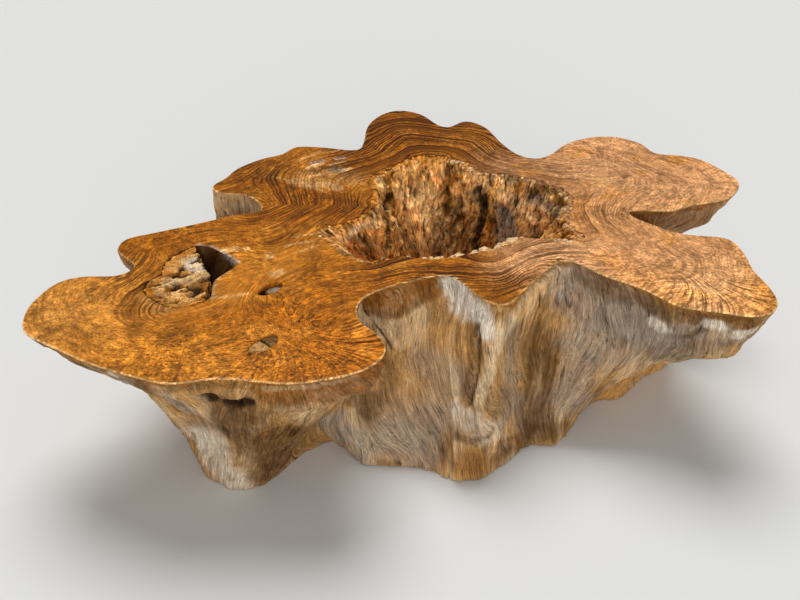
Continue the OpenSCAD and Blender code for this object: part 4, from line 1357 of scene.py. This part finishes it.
CRUMB_SPOTS = [
    # x, y, radius, how thick the crumbs lie
    (60, -165, 50, 0.8), (120, -152, 40, 0.9), (175, -132, 35, 1.0), (220, -110, 35, 1.0),
    (265, -78, 25, 0.7), (390, -84, 40, 0.7), (-110, -182, 50, 0.4), (-236, -55, 26, 0.25),
    (130, 300, 90, 0.35), (-70, 250, 60, 0.3), (410, 80, 90, 0.25),
]
BURL_MARKS = [
    # colour, width, strength, places
    # the sand line is pale wood and painted highlight on the ridge of BURL_RELIEF; the dark lines are painted
    # shade in its grooves
    ("silver", 24, 0.9, [(-553, -186, 418), (-535, -205, 418)]),
    ("sand", 12, 0.8, [(-605, -270, 418), (-550, -250, 418), (-514, -240, 418)]),
    ("honey", 26, 0.8, [(-600, -340, 418), (-560, -345, 418)]),
    ("honey", 20, 0.8, [(-620, -225, 418), (-605, -185, 418)]),
    ("crevice_shade", 6, 1.0, [(-585, -240, 418), (-578, -205, 418)]),
    ("crevice_shade", 4, 0.9, [(-600, -292, 418), (-560, -285, 418), (-530, -295, 418)]),
    ("umber", 22, 0.8, [(-525, -260, 418), (-512, -300, 418)]),
]
BURL_RELIEF = [
    # height, width, places
    (4, 10, [(-605, -270, 418), (-550, -250, 418), (-514, -240, 418)]),
    (-9, 7, [(-585, -240, 418), (-578, -205, 418)]),
    (-6, 5, [(-600, -292, 418), (-560, -285, 418), (-530, -295, 418)]),
]


def build_burl():
    """The dead burl: its crown lies just under the polished face, torn into leaves and crevices."""
    piece, points, facing = remeshed("dead_burl", "burl_knot", voxel=0.0024)
    # the upper 18 mm of the crown are flattened to 4.5 mm, just below the face
    down = np.interp(TOP - points[:, 2], (0.0, 0.018, 0.05, 1.0), (0.003, 0.0075, 0.05, 1.0))
    shore = tree_of(rim_lines()[2])
    bank = smooth(0.030, 0.010, distances(shore, points * [1, 1, 0])) * smooth(0.030, 0.014, down)
    # beside the bank of the pocket it reaches up to 2.5 mm below the face
    down = down * (1 - bank) + 0.0025 * bank
    points[:, 2] = TOP - down
    face = smooth(0.075, 0.03, down)
    # crags and leaves run on a slant of 26 degrees in plan
    slant = points @ np.array([[0.90, -0.44, 0], [0.44, 0.90, 0], [0, 0, 1]])
    crag = ridged(slant * [0.4, 1, 0.6] / 0.030, 4, 151)
    leaf = ridged(slant * [0.4, 1, 0.5] / 0.011, 3, 155)
    grit = layers(points / 0.005, 2, 159)
    rise = (0.0040 * level(crag) + 0.0019 * level(leaf) + 0.0005 * level(grit)) * face * (1 - 0.6 * bank)
    rise = rise + lifted(points, BURL_RELIEF, 157) * face
    points = points + facing * rise[:, None]
    points[:, 2] = np.minimum(points[:, 2], TOP - FLUSH)
    set_points(piece, points)
    tint = washed(colour("amber"), [
        ("tan", smooth(-0.3, 0.2, layers(points / 0.035, 3, 161))),
        ("honey", 0.7 * smooth(0.05, 0.5, layers(points / 0.028, 3, 163))),
    ])
    # painted shade in the crevices and deep down the burl, painted highlight on its crests
    tint = washed(marked(tint, points, BURL_MARKS, 167, 0.012), [
        ("amber", 0.6 * bank),
        ("crevice_shade", 0.90 * smooth(-0.001, -0.006, rise)),
        ("straw", 0.65 * smooth(0.0015, 0.005, rise)),
        ("crevice_shade", 0.9 * smooth(0.03, 0.075, down)),
    ])
    store(piece.data, "tint", tint)
    store(piece.data, "flow", points * [1, 1, 0.6] + 0.01 * layers(points / 0.05, 2, 165)[:, None])
    material = weathered("dead_burl_wood", rough=0.88, strand=170.0, contrast=0.9)
    finish_piece(piece, material, "dead_wood", "burl_knot")


def build_knots():
    """The two knots: the front one split by a seam, the side one sunk on one side."""
    material = weathered("dead_knot_wood", rough=0.8, strand=240.0, contrast=0.85, bump_size=0.002)
    for name, node in (("front_knot_wood", "front_knot"), ("side_knot_wood", "side_knot")):
        piece, points, facing = remeshed(name, node, voxel=0.0014)
        low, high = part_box(node)
        middle = (np.array(low) + np.array(high)) / 2
        top = smooth(high.z - 0.004, high.z - 0.0005, points[:, 2]) * smooth(0.3, 0.8, facing[:, 2])
        turn = math.radians(45 if node == "front_knot" else 42)
        u = (points[:, 0] - middle[0]) * math.cos(turn) + (points[:, 1] - middle[1]) * math.sin(turn)
        rough = layers(points / 0.007, 3, 171)
        rise = 0.0022 * rough * top
        washes = [("umber", smooth(-0.1, 0.35, layers(points / 0.010, 3, 173)))]
        if node == "front_knot":
            seam = np.abs(u - 0.006 - 0.002 * noise(points / 0.01, 175))
            rise = rise - 0.004 * smooth(0.0035, 0.001, seam) * top - 0.002 * (u > 0.006) * top
            # painted shade along the seam
            washes += [("umber", 0.7 * (u > 0.006)), ("crevice_shade", 0.9 * smooth(0.0035, 0.0015, seam))]
        else:
            rise = rise - 0.012 * smooth(-0.002, -0.020, u) * top
            # painted shade on the sunk side
            washes += [("slate", 0.8 * smooth(-0.004, 0.006, u)), ("crevice_shade", 0.95 * smooth(0.0, -0.010, u))]
        points = points + facing * rise[:, None]
        points[:, 2] = np.minimum(points[:, 2], TOP - FLUSH)
        set_points(piece, points)
        store(piece.data, "tint", washed(colour("tan"), washes))
        store(piece.data, "flow", points)
        finish_piece(piece, material, "dead_wood", node)


CRUMB_THROWS = 620  # crumbs thrown round the whole rim; on its bare stretches they are left out


def build_crumbs():
    """Crumbs of decayed wood that lie along the rim of the hollow."""
    dice = np.random.RandomState(7)
    rim = rim_lines()[1]
    away = inset(rim, -1.0) - rim
    bm = bmesh.new()
    size = sizes().crumb
    thick = spots(rim, CRUMB_SPOTS)
    for _ in range(CRUMB_THROWS):
        at = dice.randint(0, RIM_POINTS)
        if dice.rand() > thick[at]:
            continue
        radius = size * (0.35 + 0.75 * dice.rand() ** 1.8) * (0.6 + 0.7 * thick[at])
        made = bmesh.ops.create_icosphere(bm, subdivisions=2, radius=radius)["verts"]
        stretch = np.array([1.0, 0.6 + 0.5 * dice.rand(), 0.45 + 0.35 * dice.rand()])
        turn = dice.rand() * math.pi
        c, s = math.cos(turn), math.sin(turn)
        place = rim[at] + away[at] * (-0.006 + 0.020 * dice.rand())
        seed = dice.randint(0, 999)
        shape = np.array([v.co for v in made])
        shape = shape * (1 + 0.30 * noise(shape / (radius * 0.8), seed)[:, None]) * stretch
        tall = shape[:, 2].max()
        height = TOP - FLUSH - tall + min(0, -0.002 * dice.rand())
        for v, p in zip(made, shape):
            v.co = (place[0] + p[0] * c - p[1] * s, place[1] + p[0] * s + p[1] * c, height + p[2])
    for face in bm.faces:
        face.smooth = True
    mesh = mesh_from(bm, "rim_crumbs")
    points = read_points(mesh)
    store(mesh, "tint", washed(colour("sand"), [
        ("straw", smooth(-0.2, 0.3, layers(points / 0.02, 2, 181))),
        ("umber", smooth(0.15, 0.5, layers(points / 0.012, 2, 183))),
    ]))
    store(mesh, "flow", points)
    material = weathered("crumbled_wood", rough=0.9, strand=260.0, contrast=0.8, bump_size=0.002)
    finish_piece(new_object("rim_crumbs", mesh), material, "dead_wood", "root_body")


def build_pads():
    """Finishes of the CAD nodes that stay: the pads and their screws."""
    felt, steel = wool_felt(), zinc_steel()
    for name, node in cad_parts.items():
        if name.startswith("pad_"):
            node.data.materials.clear()
            node.data.materials.append(steel if name == "pad_screws" else felt)


def build_stage():
    """Pale floor, even room light, two wide soft suns and the camera of the photo."""
    bm = bmesh.new()
    bmesh.ops.create_grid(bm, x_segments=1, y_segments=1, size=14.0)
    floor = new_object("studio_floor", mesh_from(bm, "studio_floor"))
    floor.data.materials.append(studio_paper())
    scene = bpy.context.scene
    world = bpy.data.worlds.new("soft_room")
    scene.world = world
    world.use_nodes = True
    room = world.node_tree.nodes["Background"].inputs
    room["Color"].default_value = (1.0, 1.0, 1.0, 1)
    room["Strength"].default_value = 0.27
    suns = (("key", 2.20, 34, (0.05, -0.54, -1.0)), ("fill", 1.40, 56, (-0.05, 1.0, -0.27)))
    for name, strength, spread, towards in suns:
        lamp = bpy.data.lights.new(name, "SUN")
        lamp.energy = strength
        lamp.angle = math.radians(spread)
        sun = bpy.data.objects.new(name, lamp)
        sun.rotation_euler = Vector(towards).to_track_quat("-Z", "Y").to_euler()
        scene.collection.objects.link(sun)
    camera = bpy.data.cameras.new("camera")
    camera.lens = 47.25
    camera.sensor_width = 36
    eye = bpy.data.objects.new("camera", camera)
    # where the photo was taken from, and how far it looks down
    eye.location = (-0.0358, -2.3367, 1.9218)
    eye.rotation_euler = (math.radians(53), 0, 0)
    scene.collection.objects.link(eye)
    scene.camera = eye
    scene.view_settings.view_transform = "Standard"


# Operators, panel and steps

class TEAK_OT_stage(bpy.types.Operator):
    """Floor, soft studio light and camera"""

    bl_idname = "teak.stage"
    bl_label = "Stage"

    def execute(self, context):
        build_stage()
        return {"FINISHED"}


class TEAK_OT_polished_top(bpy.types.Operator):
    """Polished top with its rounded edge and growth lines"""

    bl_idname = "teak.polished_top"
    bl_label = "Polished top"

    def execute(self, context):
        build_top()
        return {"FINISHED"}


class TEAK_OT_flanks(bpy.types.Operator):
    """Weathered flanks that flow down to the feet"""

    bl_idname = "teak.flanks"
    bl_label = "Flanks"

    def execute(self, context):
        build_flanks()
        return {"FINISHED"}


class TEAK_OT_heart(bpy.types.Operator):
    """Ragged wall of the decayed heart hollow"""

    bl_idname = "teak.heart"
    bl_label = "Heart wall"

    def execute(self, context):
        build_heart()
        return {"FINISHED"}


class TEAK_OT_crumbs(bpy.types.Operator):
    """Crumbs along the rim of the hollow"""

    bl_idname = "teak.crumbs"
    bl_label = "Rim crumbs"

    def execute(self, context):
        build_crumbs()
        return {"FINISHED"}


class TEAK_OT_pocket(bpy.types.Operator):
    """Wall of the burl pocket"""

    bl_idname = "teak.pocket"
    bl_label = "Pocket wall"

    def execute(self, context):
        build_pocket()
        return {"FINISHED"}


class TEAK_OT_burl(bpy.types.Operator):
    """Dead burl in the pocket of the left lobe"""

    bl_idname = "teak.burl"
    bl_label = "Dead burl"

    def execute(self, context):
        build_burl()
        return {"FINISHED"}


class TEAK_OT_knots(bpy.types.Operator):
    """Two small dead knots in the polished top"""

    bl_idname = "teak.knots"
    bl_label = "Dead knots"

    def execute(self, context):
        build_knots()
        return {"FINISHED"}


class TEAK_OT_sole(bpy.types.Operator):
    """Sawn sole under the feet"""

    bl_idname = "teak.sole"
    bl_label = "Sole"

    def execute(self, context):
        build_sole()
        return {"FINISHED"}


class TEAK_OT_pads(bpy.types.Operator):
    """Finishes of the felt pads and their screws"""

    bl_idname = "teak.pads"
    bl_label = "Felt pads"

    def execute(self, context):
        build_pads()
        return {"FINISHED"}


STEPS = (
    TEAK_OT_stage, TEAK_OT_polished_top, TEAK_OT_flanks, TEAK_OT_heart, TEAK_OT_crumbs,
    TEAK_OT_pocket, TEAK_OT_burl, TEAK_OT_knots, TEAK_OT_sole, TEAK_OT_pads,
)


class TEAK_PT_panel(bpy.types.Panel):
    """Sizes, colours and steps of the table"""

    bl_idname = "TEAK_PT_panel"
    bl_label = "Teak table"
    bl_space_type = "VIEW_3D"
    bl_region_type = "UI"
    bl_category = "Teak table"

    def draw(self, context):
        column = self.layout.column()
        for group in (context.scene.teak_sizes, context.scene.teak_colours):
            for key in group.__annotations__:
                column.prop(group, key)
        for step in STEPS:
            column.operator(step.bl_idname)


CLASSES = (TeakSizes, TeakColours, *STEPS, TEAK_PT_panel)


def register():
    """Registers the classes and puts the settings on the scene."""
    for part in CLASSES:
        bpy.utils.register_class(part)
    bpy.types.Scene.teak_sizes = PointerProperty(type=TeakSizes)
    bpy.types.Scene.teak_colours = PointerProperty(type=TeakColours)


def unregister():
    """Takes the settings and the classes away again."""
    del bpy.types.Scene.teak_colours
    del bpy.types.Scene.teak_sizes
    for part in reversed(CLASSES):
        bpy.utils.unregister_class(part)


def main():
    """Runs the steps in order."""
    register()
    for step in STEPS:
        group, name = step.bl_idname.split(".")
        getattr(getattr(bpy.ops, group), name)()


if __name__ == "__main__":
    main()
